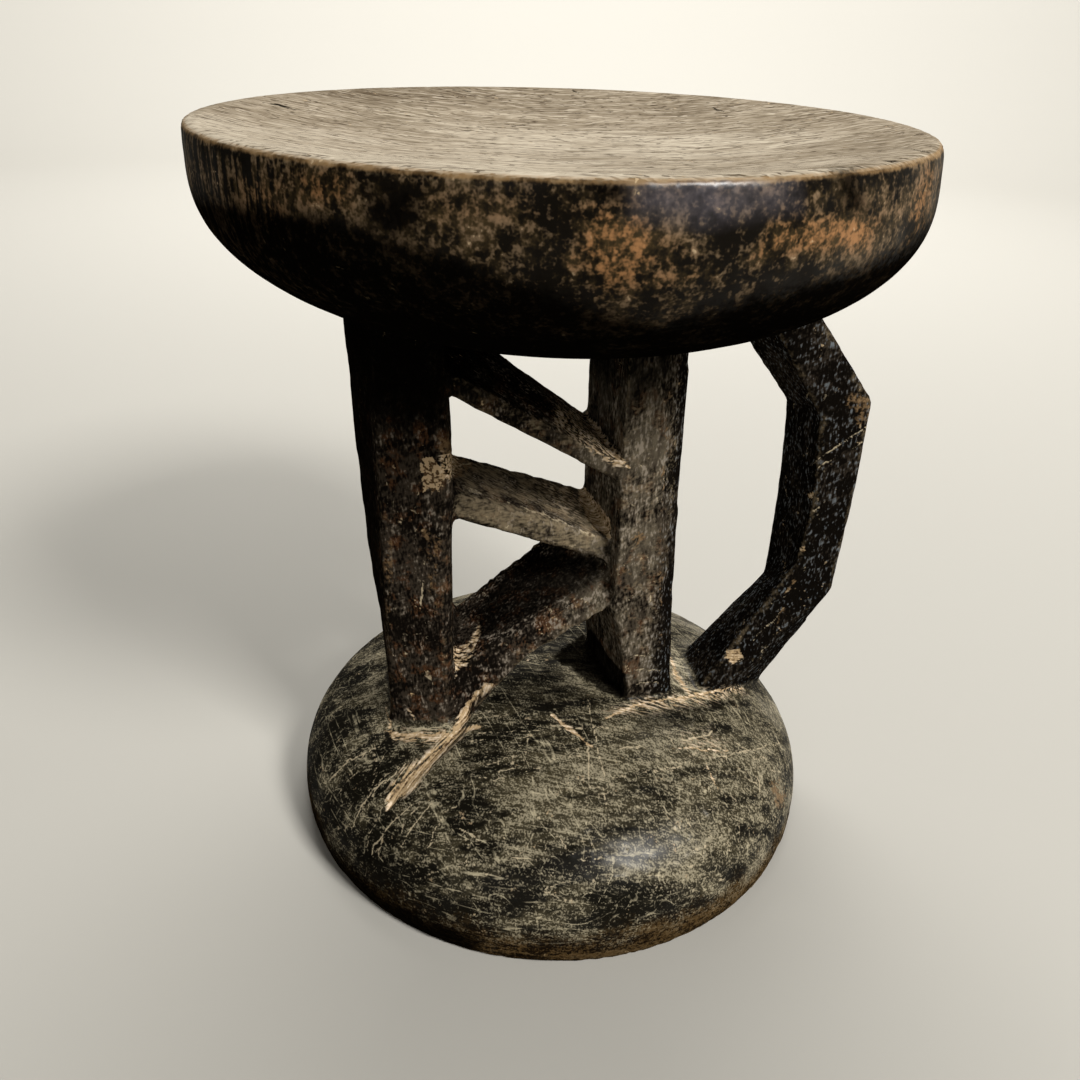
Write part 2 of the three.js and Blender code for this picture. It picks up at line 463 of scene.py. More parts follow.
@dataclass(frozen=True)
class Studio:
    """Plain pale floor that sweeps up all round, and soft light."""

    flat_radius: float = 2.4
    sweep: float = 1.2
    wall_height: float = 3.2
    around: int = 96
    sweep_steps: int = 12
    floor_colour: str = "a6a39c"
    floor_rough: float = 0.85
    sky_colour: str = "eef1f4"
    sky_strength: float = 0.11
    lamps: tuple[SoftLamp, ...] = (
        SoftLamp("key", (1.5, -1.5, 2.15), (0.0, 0.0, 0.17), 0.7, 108.0, (1.0, 0.99, 0.965)),
        SoftLamp("front", (-0.5, -1.7, 0.9), (0.0, 0.0, 0.15), 0.9, 3.0, (0.96, 0.98, 1.0)),
        SoftLamp("backdrop", (0.0, 1.5, 2.6), (0.0, 3.4, 0.3), 1.6, 175.0, (1.0, 0.998, 0.99)),
    )

    def build(self) -> None:
        """Lay the floor, light the world and hang the lamps."""
        floor = bpy.data.objects.new("floor", self._floor_mesh())
        bpy.context.scene.collection.objects.link(floor)
        floor.data.materials.append(self._floor_paint())
        world = bpy.data.worlds.new("studio")
        world.use_nodes = True
        sky = world.node_tree.nodes["Background"]
        sky.inputs["Color"].default_value = paint(self.sky_colour)
        sky.inputs["Strength"].default_value = self.sky_strength
        bpy.context.scene.world = world
        for lamp in self.lamps:
            lamp.hang()
        bpy.context.scene.view_settings.view_transform = "Standard"

    def _floor_mesh(self) -> bpy.types.Mesh:
        """Turn the floor and the round wall behind it as one sheet.

        Returns:
            The sheet, facing inwards and upwards.
        """
        bends = [math.pi / 2 * step / self.sweep_steps for step in range(self.sweep_steps + 1)]
        profile = [
            (self.flat_radius + self.sweep * math.sin(bend), self.sweep * (1 - math.cos(bend))) for bend in bends
        ]
        profile.append((self.flat_radius + self.sweep, self.wall_height))
        turns = [2 * math.pi * step / self.around for step in range(self.around)]
        places = [(0.0, 0.0, 0.0)]
        for radius, height in profile:
            places += [(radius * math.cos(turn), radius * math.sin(turn), height) for turn in turns]
        faces: list[tuple[int, ...]] = []
        for step in range(self.around):
            after = (step + 1) % self.around
            faces.append((0, 1 + step, 1 + after))
            for ring in range(len(profile) - 1):
                low, high = 1 + ring * self.around, 1 + (ring + 1) * self.around
                faces.append((low + step, high + step, high + after, low + after))
        mesh = bpy.data.meshes.new("floor")
        mesh.from_pydata(places, [], faces)
        mesh.shade_smooth()
        return mesh

    def _floor_paint(self) -> bpy.types.Material:
        """Matt paint of the floor."""
        material = bpy.data.materials.new("floor_paint")
        material.use_nodes = True
        shader = material.node_tree.nodes["Principled BSDF"]
        shader.inputs["Base Color"].default_value = paint(self.floor_colour)
        shader.inputs["Roughness"].default_value = self.floor_rough
        shader.inputs["Specular IOR Level"].default_value = 0.0
        return material


# ---- Marks ----


def off_line(pixels: np.ndarray, start: np.ndarray, end: np.ndarray) -> tuple[np.ndarray, np.ndarray]:
    """Measure points from a straight piece of line in the picture.

    Args:
        pixels: Where the points are in the picture.
        start: One end of the line.
        end: Its other end.

    Returns:
        How far each point is from the line, and how far along it, from 0 to 1.
    """
    along = end - start
    part = np.clip(((pixels - start) @ along) / (along @ along), 0, 1)
    return np.linalg.norm(pixels - start - part[:, None] * along, axis=1), part


@dataclass(frozen=True)
class Stroke:
    """A scratch, cut, crack or rub along a line in the picture.

    Its widths are in pixels and its depth is in millimetres, as a patch's are. `close` is
    how many pixels beside it need fine faces.
    """

    THINNEST: ClassVar[float] = 0.3

    name: str
    trace: Trace
    line: tuple[Pixel, ...]
    widths: tuple[float, ...]
    depth: float = 0.0
    strength: float = 1.0
    close: float = 3.0

    def share(self, pixels: np.ndarray) -> np.ndarray:
        """Find how strongly the stroke covers each point.

        Args:
            pixels: Where the points are in the picture.

        Returns:
            1 on the line, falling to 0 at its half width.
        """
        widths = np.interp(np.linspace(0, 1, len(self.line)), np.linspace(0, 1, len(self.widths)), self.widths)
        corners = np.array(self.line, float)
        best = np.zeros(len(pixels))
        for index, (start, end) in enumerate(zip(corners, corners[1:])):
            away, part = off_line(pixels, start, end)
            half = (widths[index] + part * (widths[index + 1] - widths[index])) / 2
            best = np.maximum(best, 1 - away / np.maximum(half, self.THINNEST))
        return np.clip(best, 0, 1)

    def near(self, pixels: np.ndarray) -> np.ndarray:
        """Find which points are close enough to the stroke to need fine faces."""
        wide = Stroke(self.name, self.trace, self.line, tuple(w + 2 * self.close for w in self.widths))
        return wide.share(pixels) > 0

    def reach(self) -> tuple[np.ndarray, np.ndarray]:
        """Lowest and highest pixel that the stroke can touch."""
        line = np.array(self.line)
        margin = max(self.widths) + self.close
        return line.min(0) - margin, line.max(0) + margin


@dataclass(frozen=True)
class Patch:
    """A chip, flat cut or stain with an outline in the picture.

    `soft` is the width of its border in pixels.
    """

    TINY: ClassVar[float] = 1e-9

    name: str
    trace: Trace
    outline: tuple[Pixel, ...]
    soft: float = 2.0
    depth: float = 0.0
    strength: float = 1.0
    close: float = 2.0

    def share(self, pixels: np.ndarray) -> np.ndarray:
        """Find how strongly the patch covers each point.

        Args:
            pixels: Where the points are in the picture.

        Returns:
            1 well inside, 0 well outside, and a half on the outline.
        """
        nearest = np.full(len(pixels), np.inf)
        inside = np.zeros(len(pixels), bool)
        corners = np.array(self.outline, float)
        for start, end in zip(corners, np.roll(corners, -1, axis=0)):
            nearest = np.minimum(nearest, off_line(pixels, start, end)[0])
            spans = (start[1] > pixels[:, 1]) != (end[1] > pixels[:, 1])
            rise = (end - start)[1] or self.TINY
            crossing = start[0] + (pixels[:, 1] - start[1]) / rise * (end - start)[0]
            inside ^= spans & (pixels[:, 0] < crossing)
        signed = np.where(inside, nearest, -nearest)
        return np.clip(0.5 + signed / self.soft, 0, 1)

    def near(self, pixels: np.ndarray) -> np.ndarray:
        """Find which points are close enough to the patch to need fine faces."""
        wide = Patch(self.name, self.trace, self.outline, 2 * self.close + self.soft)
        return wide.share(pixels) > 0

    def reach(self) -> tuple[np.ndarray, np.ndarray]:
        """Lowest and highest pixel that the patch can touch."""
        corners = np.array(self.outline)
        margin = self.soft + self.close
        return corners.min(0) - margin, corners.max(0) + margin


@dataclass(frozen=True)
class ScratchFamily:
    """Many fine scratches that run roughly one way over a part of the picture.

    Its lengths and widths are in pixels, and its heading, scatter and bend in degrees.
    Each scratch takes its own share of the length, bend, width and strength.
    """

    PIECES: ClassVar[int] = 4
    END_WIDTH: ClassVar[float] = 0.7
    LENGTHS: ClassVar[tuple[float, float]] = (0.4, 1.5)
    BENDS: ClassVar[tuple[float, float]] = (0.3, 1.4)
    WIDTHS: ClassVar[tuple[float, float]] = (0.7, 1.4)
    STRENGTHS: ClassVar[tuple[float, float]] = (0.45, 1.0)

    name: str
    middle: Pixel
    spread: Pixel
    heading: float
    scatter: float
    length: float
    bend: float
    count: int
    seed: int
    width: float = 1.3
    depth: float = 0.12
    strength: float = 0.8
    close: float = 1.3

    def strokes(self) -> list[Stroke]:
        """Draw the family's scratches.

        Returns:
            One stroke for each scratch.
        """
        chance = np.random.default_rng(self.seed)
        made = []
        for index in range(self.count):
            start = np.array(self.middle) + chance.uniform(-1, 1, 2) * np.array(self.spread)
            heading = math.radians(self.heading + chance.normal() * self.scatter)
            length = self.length * chance.uniform(*self.LENGTHS)
            turn = math.radians(self.bend) * chance.uniform(*self.BENDS)
            line = [tuple(start)]
            for step in range(self.PIECES):
                angle = heading + turn * step / self.PIECES
                start = start + length / self.PIECES * np.array((math.cos(angle), math.sin(angle)))
                line.append(tuple(start))
            widths = (self.END_WIDTH, self.width * chance.uniform(*self.WIDTHS), self.END_WIDTH)
            strength = self.strength * chance.uniform(*self.STRENGTHS)
            name = f"{self.name} {index}"
            made.append(Stroke(name, Trace.SCRATCH, tuple(line), widths, self.depth, strength, self.close))
        return made


Mark = Stroke | Patch


def with_scratches(placed: list[Mark], families: Sequence[ScratchFamily]) -> list[Mark]:
    """Add the scratches of each family to the marks that are placed one by one."""
    return placed + [stroke for family in families for stroke in family.strokes()]


# ---- Forms ----


@dataclass(frozen=True)
class Seat:
    """The dished seat: where its surface is, and what has happened to it."""

    rim_height: float = 0.3493
    rim_radius: float = 0.150
    widest_radius: float = 0.1508
    widest_drop: float = 0.0209
    underside_drop: float = 0.08525
    underside_power: float = 2.08
    ovality: float = 0.0115
    oval_turn: float = -0.632
    lean: float = 0.0427
    rim_tilt: float = 0.0029
    dish_limit: float = 0.022
    cover: float = 0.0015

    def local(self, points: np.ndarray) -> tuple[np.ndarray, np.ndarray, np.ndarray]:
        """Measure points from the seat's own axis, as if it were round and level.

        Args:
            points: Places in the row frame.

        Returns:
            Distance from the axis, height, and angle about the axis.
        """
        height = points[:, 2] - self.rim_tilt * points[:, 0]
        across = points[:, 0] - self.lean * (self.rim_height - height)
        angle = np.arctan2(points[:, 1], across)
        swell = 1 + self.ovality * np.cos(2 * (angle - self.oval_turn))
        return np.hypot(across, points[:, 1]) / swell, height, angle

    def share(self, points: np.ndarray) -> np.ndarray:
        """Find which points are on the seat.

        Args:
            points: Places in the row frame.

        Returns:
            1 on the seat and 0 elsewhere, with a soft border.
        """
        radius, height, _ = self.local(points)
        depth = self.underside_drop - self.widest_drop
        inward = np.clip(radius / self.widest_radius, 0, 1) ** self.underside_power
        under = self.rim_height - self.widest_drop - depth * (1 - inward) ** (1 / self.underside_power)
        return smooth_step(height - under, -2 * self.cover, -self.cover / 2)

    def rim_reach(self, points: np.ndarray) -> np.ndarray:
        """Measure how far points are from the rim's line, in millimetres.

        Args:
            points: Places in the row frame.

        Returns:
            Above 0 on the dished top and below 0 on the side.
        """
        radius, height, _ = self.local(points)
        drop = self.rim_height - height
        reach = (self.rim_radius - radius - drop) / MM
        return np.where(drop > self.dish_limit, -np.abs(reach), reach)

    def tool_space(self, points: np.ndarray) -> np.ndarray:
        """Lay the seat's side flat: along its girth, down its side, and inwards."""
        radius, height, angle = self.local(points)
        return np.stack([angle * self.rim_radius, height - radius, np.zeros(len(points))], axis=1)

    def marks(self) -> list[Mark]:
        """List the cracks, dents, rubs, polish and painted shade of the seat."""
        return [
            Stroke("back rim crack left", Trace.GRIME_AND_SHADE, ((263, 103), (282, 106), (300, 110)), (1.5, 2.5, 1.5), 0.3),
            Stroke("back rim crack middle", Trace.GRIME_AND_SHADE, ((452, 90), (470, 91)), (2.0, 1.5), 0.3),
            Stroke("back rim crack right", Trace.GRIME_AND_SHADE, ((712, 107), (724, 111)), (2.0, 1.5), 0.3),
            Stroke("back rim chip", Trace.GRIME_AND_SHADE, ((573, 90), (578, 93)), (4.0, 3.0), 0.8),
            Stroke("side dent", Trace.RAW, ((338, 268), (344, 266)), (3.0, 2.0), 0.4, 0.7),
            Patch("left orange rub", Trace.RUB, ((292, 168), (352, 172), (350, 206), (300, 204)), 34, 0, 0.75),
            Patch(
                "left brown strokes", Trace.RUB,
                ((236, 168), (290, 172), (300, 225), (262, 232), (232, 205)), 40, 0, 0.5,
            ),
            Patch("middle brown mottle", Trace.RUB, ((400, 180), (545, 186), (560, 232), (430, 236)), 44, 0, 0.38),
            Patch("lower middle spot", Trace.RUB, ((556, 252), (588, 250), (590, 272), (560, 274)), 22, 0, 0.6),
            Patch(
                "lower right brown rub", Trace.RUB,
                ((600, 270), (700, 262), (720, 280), (640, 300), (590, 298)), 22, 0, 0.5,
            ),
            Patch(
                "centre orange rub", Trace.RUB,
                ((590, 206), (640, 212), (664, 250), (640, 286), (600, 292), (578, 250)), 40, 0, 0.95,
            ),
            Patch(
                "centre brown rub", Trace.RUB,
                ((560, 190), (640, 196), (700, 250), (690, 290), (580, 280)), 50, 0, 0.5,
            ),
            Patch(
                "right orange rub", Trace.RUB,
                ((770, 222), (840, 214), (880, 220), (868, 250), (800, 252), (750, 262)), 34, 0, 0.95,
            ),
            Patch(
                "right brown mottle", Trace.RUB,
                ((740, 190), (860, 180), (930, 190), (915, 232), (760, 262)), 44, 0, 0.3,
            ),
            Patch(
                "right edge rub", Trace.RUB,
                ((926, 160), (938, 170), (930, 222), (905, 250), (908, 210)), 20, 0, 0.7,
            ),
            # Polished patches of the side: real polish for the coat, and a painted sheen in the colour.
            Patch(
                "grey polish with painted sheen", Trace.GREY_AND_SHEEN,
                ((634, 180), (790, 180), (796, 206), (700, 222), (634, 214)), 30, 0, 0.7,
            ),
            Patch("pale polish with painted sheen", Trace.GREY_AND_SHEEN, ((692, 176), (760, 176), (770, 188), (700, 190)), 12, 0, 0.9),
            Patch("dark rub", Trace.GRIME_AND_SHADE, ((826, 168), (856, 166), (872, 214), (846, 214)), 26, 0, 0.75),
            # Painted shade under the seat, over the side's lower half.
            Patch(
                "black lower half", Trace.GRIME_AND_SHADE,
                ((170, 190), (240, 206), (318, 216), (422, 248), (525, 284), (600, 312), (663, 324), (732, 304),
                 (836, 276), (905, 248), (950, 205), (930, 330), (700, 380), (330, 380), (170, 300)), 34, 0, 0.97,
            ),
            Patch("dark corner", Trace.GRIME_AND_SHADE, ((584, 182), (630, 184), (634, 204), (590, 200)), 16, 0, 0.7),
            Patch("dark left middle", Trace.GRIME_AND_SHADE, ((368, 182), (430, 186), (420, 250), (352, 236)), 34, 0, 0.6),
        ]


@dataclass(frozen=True)
class Base:
    """The domed base: where its surface is, and what has happened to it."""

    centre: tuple[float, float] = (0.0072, 0.0008)
    widest_radius: float = 0.13665
    widest_height: float = 0.0162
    dome_height: float = 0.0775
    dome_power: float = 2.24
    cover: float = 0.0012

    def local(self, points: np.ndarray) -> tuple[np.ndarray, np.ndarray]:
        """Measure points from the base's own axis.

        Args:
            points: Places in the row frame.

        Returns:
            Distance from the axis and angle about it.
        """
        across = points[:, 0] - self.centre[0]
        back = points[:, 1] - self.centre[1]
        return np.hypot(across, back), np.arctan2(back, across)

    def share(self, points: np.ndarray) -> np.ndarray:
        """Find which points are on the base.

        Args:
            points: Places in the row frame.

        Returns:
            1 on the base and 0 elsewhere, with a soft border.
        """
        radius, _ = self.local(points)
        inward = np.clip(radius / self.widest_radius, 0, 1) ** self.dome_power
        rise = self.dome_height - self.widest_height
        top = self.widest_height + rise * (1 - inward) ** (1 / self.dome_power)
        return 1 - smooth_step(points[:, 2] - top, self.cover / 2, 2 * self.cover)

    def tool_space(self, points: np.ndarray) -> np.ndarray:
        """Lay the dome flat: along its girth, up its slope, and inwards."""
        radius, angle = self.local(points)
        girth = angle * self.widest_radius
        return np.stack([girth, points[:, 2] - radius, np.zeros(len(points))], axis=1)

    def marks(self) -> list[Mark]:
        """List the cracks, cuts, scratches and painted shade of the base."""
        crack = (
            (528, 657), (507, 671), (488, 686), (470, 704), (463, 718), (456, 732),
            (440, 748), (424, 763), (411, 777), (399, 788), (391, 799), (385, 812),
        )
        placed: list[Mark] = [
            Stroke("splintered crack", Trace.SPLIT, crack, (5, 10, 11, 11, 14, 19, 18, 19, 33, 29, 18, 2), 2.4),
            # The crack's gaps are painted dark as the shade inside them.
            Stroke(
                "crack gap", Trace.GRIME_AND_SHADE,
                ((446, 738), (428, 755), (414, 768), (404, 776)), (1.5, 3.4, 3.4, 1.5), 2.8, 0.95,
            ),
            Stroke("lower crack gap", Trace.GRIME_AND_SHADE, ((409, 790), (400, 796), (393, 806)), (1.5, 3.4, 1.5), 2.6, 0.8),
            Stroke("upper crack gap", Trace.GRIME_AND_SHADE, ((486, 690), (474, 703), (466, 716)), (1.5, 3, 1.5), 1.6, 0.8),
            Stroke(
                "splinter beside the crack", Trace.SPLIT,
                ((430, 764), (421, 774), (413, 786)), (2, 6, 2), 0.4, 0.8,
            ),
            Stroke(
                "shadow under the crack", Trace.GRIME_AND_SHADE,
                ((478, 712), (468, 726), (440, 756), (424, 772)), (2, 5, 5, 2), 0.0, 0.7,
            ),
            Stroke("crack spur", Trace.SPLIT, ((456, 732), (468, 729), (481, 725)), (10, 8, 3), 1.0),
            Patch(
                "scuffed cut under the left post", Trace.RAW,
                ((386, 728), (420, 730), (456, 728), (450, 742), (410, 744), (386, 740)), 8.0, 0.5, 0.5,
            ),
            Patch(
                "scuffed band at the centre post", Trace.RAW,
                ((600, 712), (640, 698), (700, 690), (740, 686), (748, 694), (700, 706), (640, 716)), 12.0, 0.4, 0.4,
            ),
            Patch(
                "scuffed right shoulder", Trace.RAW,
                ((668, 734), (706, 728), (730, 742), (726, 760), (690, 756)), 20.0, 0.0, 0.3,
            ),
            # Painted shade: the hollow under the lowest bar, the low left side, the left flank and the crown under
            # the panel.
            Patch(
                "shadowed hollow", Trace.GRIME_AND_SHADE,
                ((552, 656), (600, 622), (626, 610), (628, 700), (604, 692)), 7.0, 0.3, 1.0,
            ),
            Patch(
                "dark low left", Trace.GRIME_AND_SHADE,
                ((306, 800), (336, 850), (386, 896), (480, 940), (470, 975), (380, 945), (300, 860)), 30, 0, 1.0,
            ),
            Patch(
                "dark left flank", Trace.GRIME_AND_SHADE,
                ((330, 850), (400, 830), (450, 880), (440, 925), (380, 895)), 36, 0, 0.4,
            ),
            Patch(
                "dark under the panel", Trace.GRIME_AND_SHADE,
                ((480, 690), (548, 660), (612, 700), (600, 712), (540, 712), (484, 716)), 26.0, 0.0, 0.55,
            ),
            Stroke(
                "cut under the left post", Trace.RAW,
                ((390, 733), (412, 735), (438, 734), (456, 733)), (7, 9, 8, 5), 0.9,
            ),
            Stroke("cut beside the left post", Trace.RAW, ((386, 706), (389, 722), (391, 733)), (3, 5, 5), 0.6, 0.8),
            Stroke("gouge in front", Trace.RAW, ((551, 714), (570, 729), (591, 746)), (3, 8, 4), 1.0),
            Stroke(
                "cut at the centre post", Trace.RAW,
                ((606, 718), (620, 712), (638, 704), (668, 699)), (3, 5, 4, 3), 0.7, 0.9,
            ),
            Stroke(
                "cut under the bracket", Trace.RAW,
                ((668, 699), (690, 696), (724, 690), (745, 688)), (5, 6, 4, 2), 0.8, 0.8,
            ),
            Stroke(
                "long scratch", Trace.SCRATCH,
                ((478, 732), (520, 731), (560, 729), (609, 726)), (1.4, 1.8, 1.2), 0.2, 0.6,
            ),
            Stroke(
                "steep scratch", Trace.SCRATCH,
                ((588, 700), (596, 742), (603, 775), (606, 812)), (1.5, 2.2, 1.5), 0.3,
            ),
            Stroke("short steep scratch", Trace.SCRATCH, ((588, 742), (589, 760), (590, 784)), (1.5, 2, 1), 0.2),
            Stroke("nick", Trace.SCRATCH, ((583, 714), (584, 733)), (1.5, 2), 0.2),
            Stroke("right scratch", Trace.SCRATCH, ((619, 748), (640, 747)), (1.5, 2), 0.2),
            Stroke("pale scratch", Trace.RAW, ((673, 748), (700, 749), (727, 750)), (2, 4, 2), 0.4, 0.7),
            Stroke("pale scratch above", Trace.SCRATCH, ((680, 741), (704, 736), (712, 731)), (2, 3, 2), 0.3),
            Stroke("leaning cut", Trace.RAW, ((706, 763), (712, 776), (719, 791)), (2, 4, 2), 0.3, 0.6),
            Stroke("long right scratch", Trace.SCRATCH, ((714, 758), (745, 751), (779, 743)), (1.4, 1.8, 1.2), 0.2),
            Stroke("flat scratch", Trace.SCRATCH, ((660, 769), (682, 767)), (1.5, 2.4), 0.2),
            Stroke("left arc", Trace.SCRATCH, ((370, 855), (377, 841), (396, 818), (412, 805)), (1.4, 2, 1.4), 0.2),
            Stroke("second left arc", Trace.SCRATCH, ((403, 845), (411, 830), (431, 805)), (1.4, 1.8, 1.4), 0.2),
            Stroke("third left arc", Trace.SCRATCH, ((427, 848), (433, 836), (441, 820)), (1.4, 1.8, 1.4), 0.2),
            Stroke(
                "outer left arc", Trace.SCRATCH,
                ((352, 830), (361, 806), (377, 786), (405, 765)), (1.2, 1.8, 1.2), 0.2,
            ),
            Stroke("high left arc", Trace.SCRATCH, ((330, 780), (348, 760), (380, 746)), (1.2, 1.6, 1.2), 0.15),
            Stroke("low nick", Trace.SCRATCH, ((459, 828), (474, 837)), (1.5, 3), 0.3),
            Stroke(
                "raw wood at the bracket", Trace.RAW,
                ((671, 658), (676, 675), (690, 692), (704, 697)), (4, 9, 8, 4), 0.6, 0.75,
            ),
            Patch(
                "pale spot", Trace.RUB,
                ((768, 782), (780, 780), (786, 792), (782, 812), (773, 806)), 8.0, 0.0, 0.9,
            ),
            Patch(
                "dull cut", Trace.GRIME_AND_SHADE,
                ((640, 712), (700, 702), (712, 706), (706, 724), (660, 730), (628, 732)), 8.0, 0.4, 0.5,
            ),
        ]
        families = [
            ScratchFamily("fine scratches of the crown", (560, 755), (110, 40), -4, 9, 34, 6, 46, 11),
            ScratchFamily("crossing scratches", (610, 790), (130, 60), 72, 22, 24, 10, 34, 12),
            ScratchFamily("left arcs", (400, 790), (60, 60), 130, 12, 30, -20, 30, 13),
            ScratchFamily("right strokes", (720, 780), (55, 50), 50, 25, 22, 12, 26, 14),
            ScratchFamily("low strokes", (560, 860), (150, 32), -8, 14, 26, 8, 30, 15),
        ]
        return with_scratches(placed, families)


@dataclass(frozen=True)
class Panel:
    """The posts and bars between seat and base, with their cuts, rubs, chips and painted shade."""

    def tool_space(self, points: np.ndarray) -> np.ndarray:
        """Run the tool's strokes upwards."""
        return points[:, [2, 0, 1]]

    def marks(self) -> list[Mark]:
        """List the marks of the posts and bars."""
        placed: list[Mark] = [
            Patch(
                "knot on the left post", Trace.KNOT,
                ((421, 462), (432, 458), (438, 466), (444, 470), (441, 486), (434, 493), (424, 489), (427, 477)),
                4.0, 0.5,
            ),
            Stroke("tan band", Trace.RUB, ((376, 436), (400, 446), (424, 456)), (16, 18, 12), 0.0, 0.7),
            Patch("left rub", Trace.RUB, ((384, 540), (398, 545), (396, 600), (386, 596)), 8.0, 0.0, 0.7),
            Patch("right rub", Trace.RUB, ((424, 530), (440, 535), (438, 600), (426, 600)), 8.0, 0.0, 0.6),
            Stroke("pale scratch on the left post", Trace.SCRATCH, ((424, 580), (421, 604)), (2, 3), 0.3),
            Patch("pale spots", Trace.RUB, ((394, 642), (405, 645), (403, 665), (396, 662)), 6.0, 0.0, 0.5),
            Patch("white chip", Trace.RAW, ((410, 692), (414, 693), (413, 697), (410, 696)), 1.5, 0.5, 0.8),
            Stroke("chisel strip at the foot", Trace.RAW, ((407, 708), (412, 716), (417, 726)), (2, 4, 2), 0.4, 0.6),
            Patch(
                "fan at the middle bar's root", Trace.RAW,
                ((440, 452), (458, 452), (462, 468), (448, 482), (440, 478)), 5.0, 0.3, 0.48,
            ),
            Patch(
                "fan on the top bar", Trace.RAW,
                ((556, 404), (586, 412), (626, 460), (622, 472), (590, 452), (552, 424)), 7.0, 0.3, 0.42,
            ),
            Patch(
                "split into the middle bar", Trace.RUB,
                ((436, 440), (452, 438), (474, 458), (470, 476), (452, 478), (440, 456)), 5.0, 0.3, 0.8,
            ),
            Stroke("fan streak", Trace.SCRATCH, ((450, 470), (470, 462)), (2, 2.5), 0.2),
            Stroke(
                "raw streak on the top bar", Trace.RAW,
                ((586, 414), (602, 436), (616, 455), (629, 468)), (4, 9, 8, 4), 0.9,
            ),
            Patch(
                "raw wedge on the middle bar", Trace.RAW,
                ((577, 482), (592, 497), (610, 520), (609, 538), (594, 528), (580, 502)), 5.0, 0.5, 0.9,
            ),
            Stroke("wedge streak", Trace.RAW, ((583, 488), (597, 512), (608, 536)), (3, 8, 8), 0.5, 0.9),
            Stroke("crack in the lowest bar", Trace.GRIME_AND_SHADE, ((553, 616), (563, 608), (575, 600)), (2, 3, 1.5), 0.8),
            Patch(
                "raw triangle", Trace.RAW,
                ((454, 648), (470, 640), (478, 622), (482, 628), (472, 656), (455, 678)), 3.0, 0.8, 0.5,
            ),
            Stroke(
                "bright ridge of the lowest bar", Trace.RUB,
                ((480, 656), (520, 634), (560, 612), (604, 592)), (4, 5, 5, 4), 0.0, 0.6,
            ),
            Patch(
                "grey top of the middle bar", Trace.GREY_AND_SHEEN,
                ((456, 456), (520, 470), (588, 492), (608, 520), (600, 536), (540, 510), (456, 486)), 8, 0, 0.75,
            ),
            Patch(
                "grey front of the middle bar", Trace.GREY_AND_SHEEN,
                ((456, 488), (540, 512), (606, 540), (606, 556), (530, 540), (452, 514)), 6, 0, 0.85,
            ),
            Patch(
                "brown front of the lowest bar", Trace.RUB,
                ((484, 652), (560, 612), (606, 586), (606, 604), (560, 640), (490, 690)), 12, 0, 0.1,
            ),
            Patch(
                "grey front of the centre post", Trace.GREY_AND_SHEEN,
                ((622, 400), (662, 396), (660, 500), (660, 650), (624, 652), (618, 500)), 12, 0, 0.3,
            ),
            # Painted highlight on the centre post's lit facet.
            Patch(
                "lit facet of the centre post", Trace.GREY_AND_SHEEN,
                ((668, 380), (688, 380), (676, 560), (668, 660), (664, 560)), 6, 0, 0.35,
            ),
            Patch(
                "top bar front", Trace.GREY_AND_SHEEN,
                ((500, 400), (560, 424), (620, 452), (622, 468), (560, 446), (500, 416)), 8, 0, 0.5,
            ),
            # Painted shadow of the seat on the left post's top, and painted shade on its unlit left face.
            Patch(
                "painted seat shadow on the left post", Trace.GRIME_AND_SHADE,
                ((350, 320), (446, 350), (446, 430), (380, 428), (352, 400)), 24, 0, 0.85,
            ),
            Patch(
                "painted shade on the left post's left face", Trace.GRIME_AND_SHADE,
                ((340, 316), (368, 330), (392, 720), (376, 726)), 12, 0, 0.85,
            ),
            Patch(
                "dark top of the lowest bar", Trace.GRIME_AND_SHADE,
                ((470, 610), (530, 548), (600, 556), (600, 584), (520, 620), (480, 640)), 10, 0, 0.7,
            ),
            Stroke(
                "ridge of the middle bar", Trace.SCRATCH,
                ((458, 486), (520, 506), (580, 529), (606, 543)), (2, 3, 3, 2), 0.0, 0.6,
            ),
            Patch(
                "bare end of the middle bar", Trace.RAW,
                ((530, 474), (588, 492), (604, 528), (556, 510)), 14, 0.0, 0.32,
            ),
            Patch(
                "fibrous front of the lowest bar", Trace.GREY_AND_SHEEN,
                ((490, 664), (560, 624), (606, 600), (604, 612), (560, 646), (496, 690)), 8, 0, 0.25,
            ),
            Patch("tan knot", Trace.RUB, ((630, 528), (645, 530), (644, 546), (631, 545)), 6.0, 0.2, 0.8),
            Patch("lower tan knot", Trace.RUB, ((622, 566), (633, 567), (632, 579), (623, 578)), 5.0, 0.2, 0.7),
            Stroke(
                "reddish facet edge", Trace.RUB,
                ((672, 380), (664, 460), (661, 540), (662, 640)), (6, 6, 5, 5), 0.0, 0.6,
            ),
            Stroke(
                "chisel strokes at the centre foot", Trace.SCRATCH,
                ((626, 660), (642, 656), (658, 658)), (1.5, 2.4, 1.5), 0.4, 0.55,
            ),
            Stroke(
                "second chisel stroke", Trace.SCRATCH,
                ((628, 672), (645, 669), (660, 670)), (1.5, 2.4, 1.5), 0.4, 0.55,
            ),
            Stroke(
                "third chisel stroke", Trace.SCRATCH,
                ((630, 685), (648, 682), (660, 683)), (1.5, 2.4, 1.5), 0.4, 0.55,
            ),
        ]
        families = [
            ScratchFamily("strokes on the left post", (412, 590), (26, 110), 84, 14, 12, 6, 40, 21, 1.4, 0.15, 0.6),
            ScratchFamily("strokes on the centre post", (642, 540), (24, 130), 80, 30, 9, 8, 46, 22, 1.4, 0.15, 0.55),
            ScratchFamily("strokes on the bars", (530, 560), (70, 90), 30, 16, 14, 5, 46, 23, 1.3, 0.15, 0.55),
        ]
        return with_scratches(placed, families)


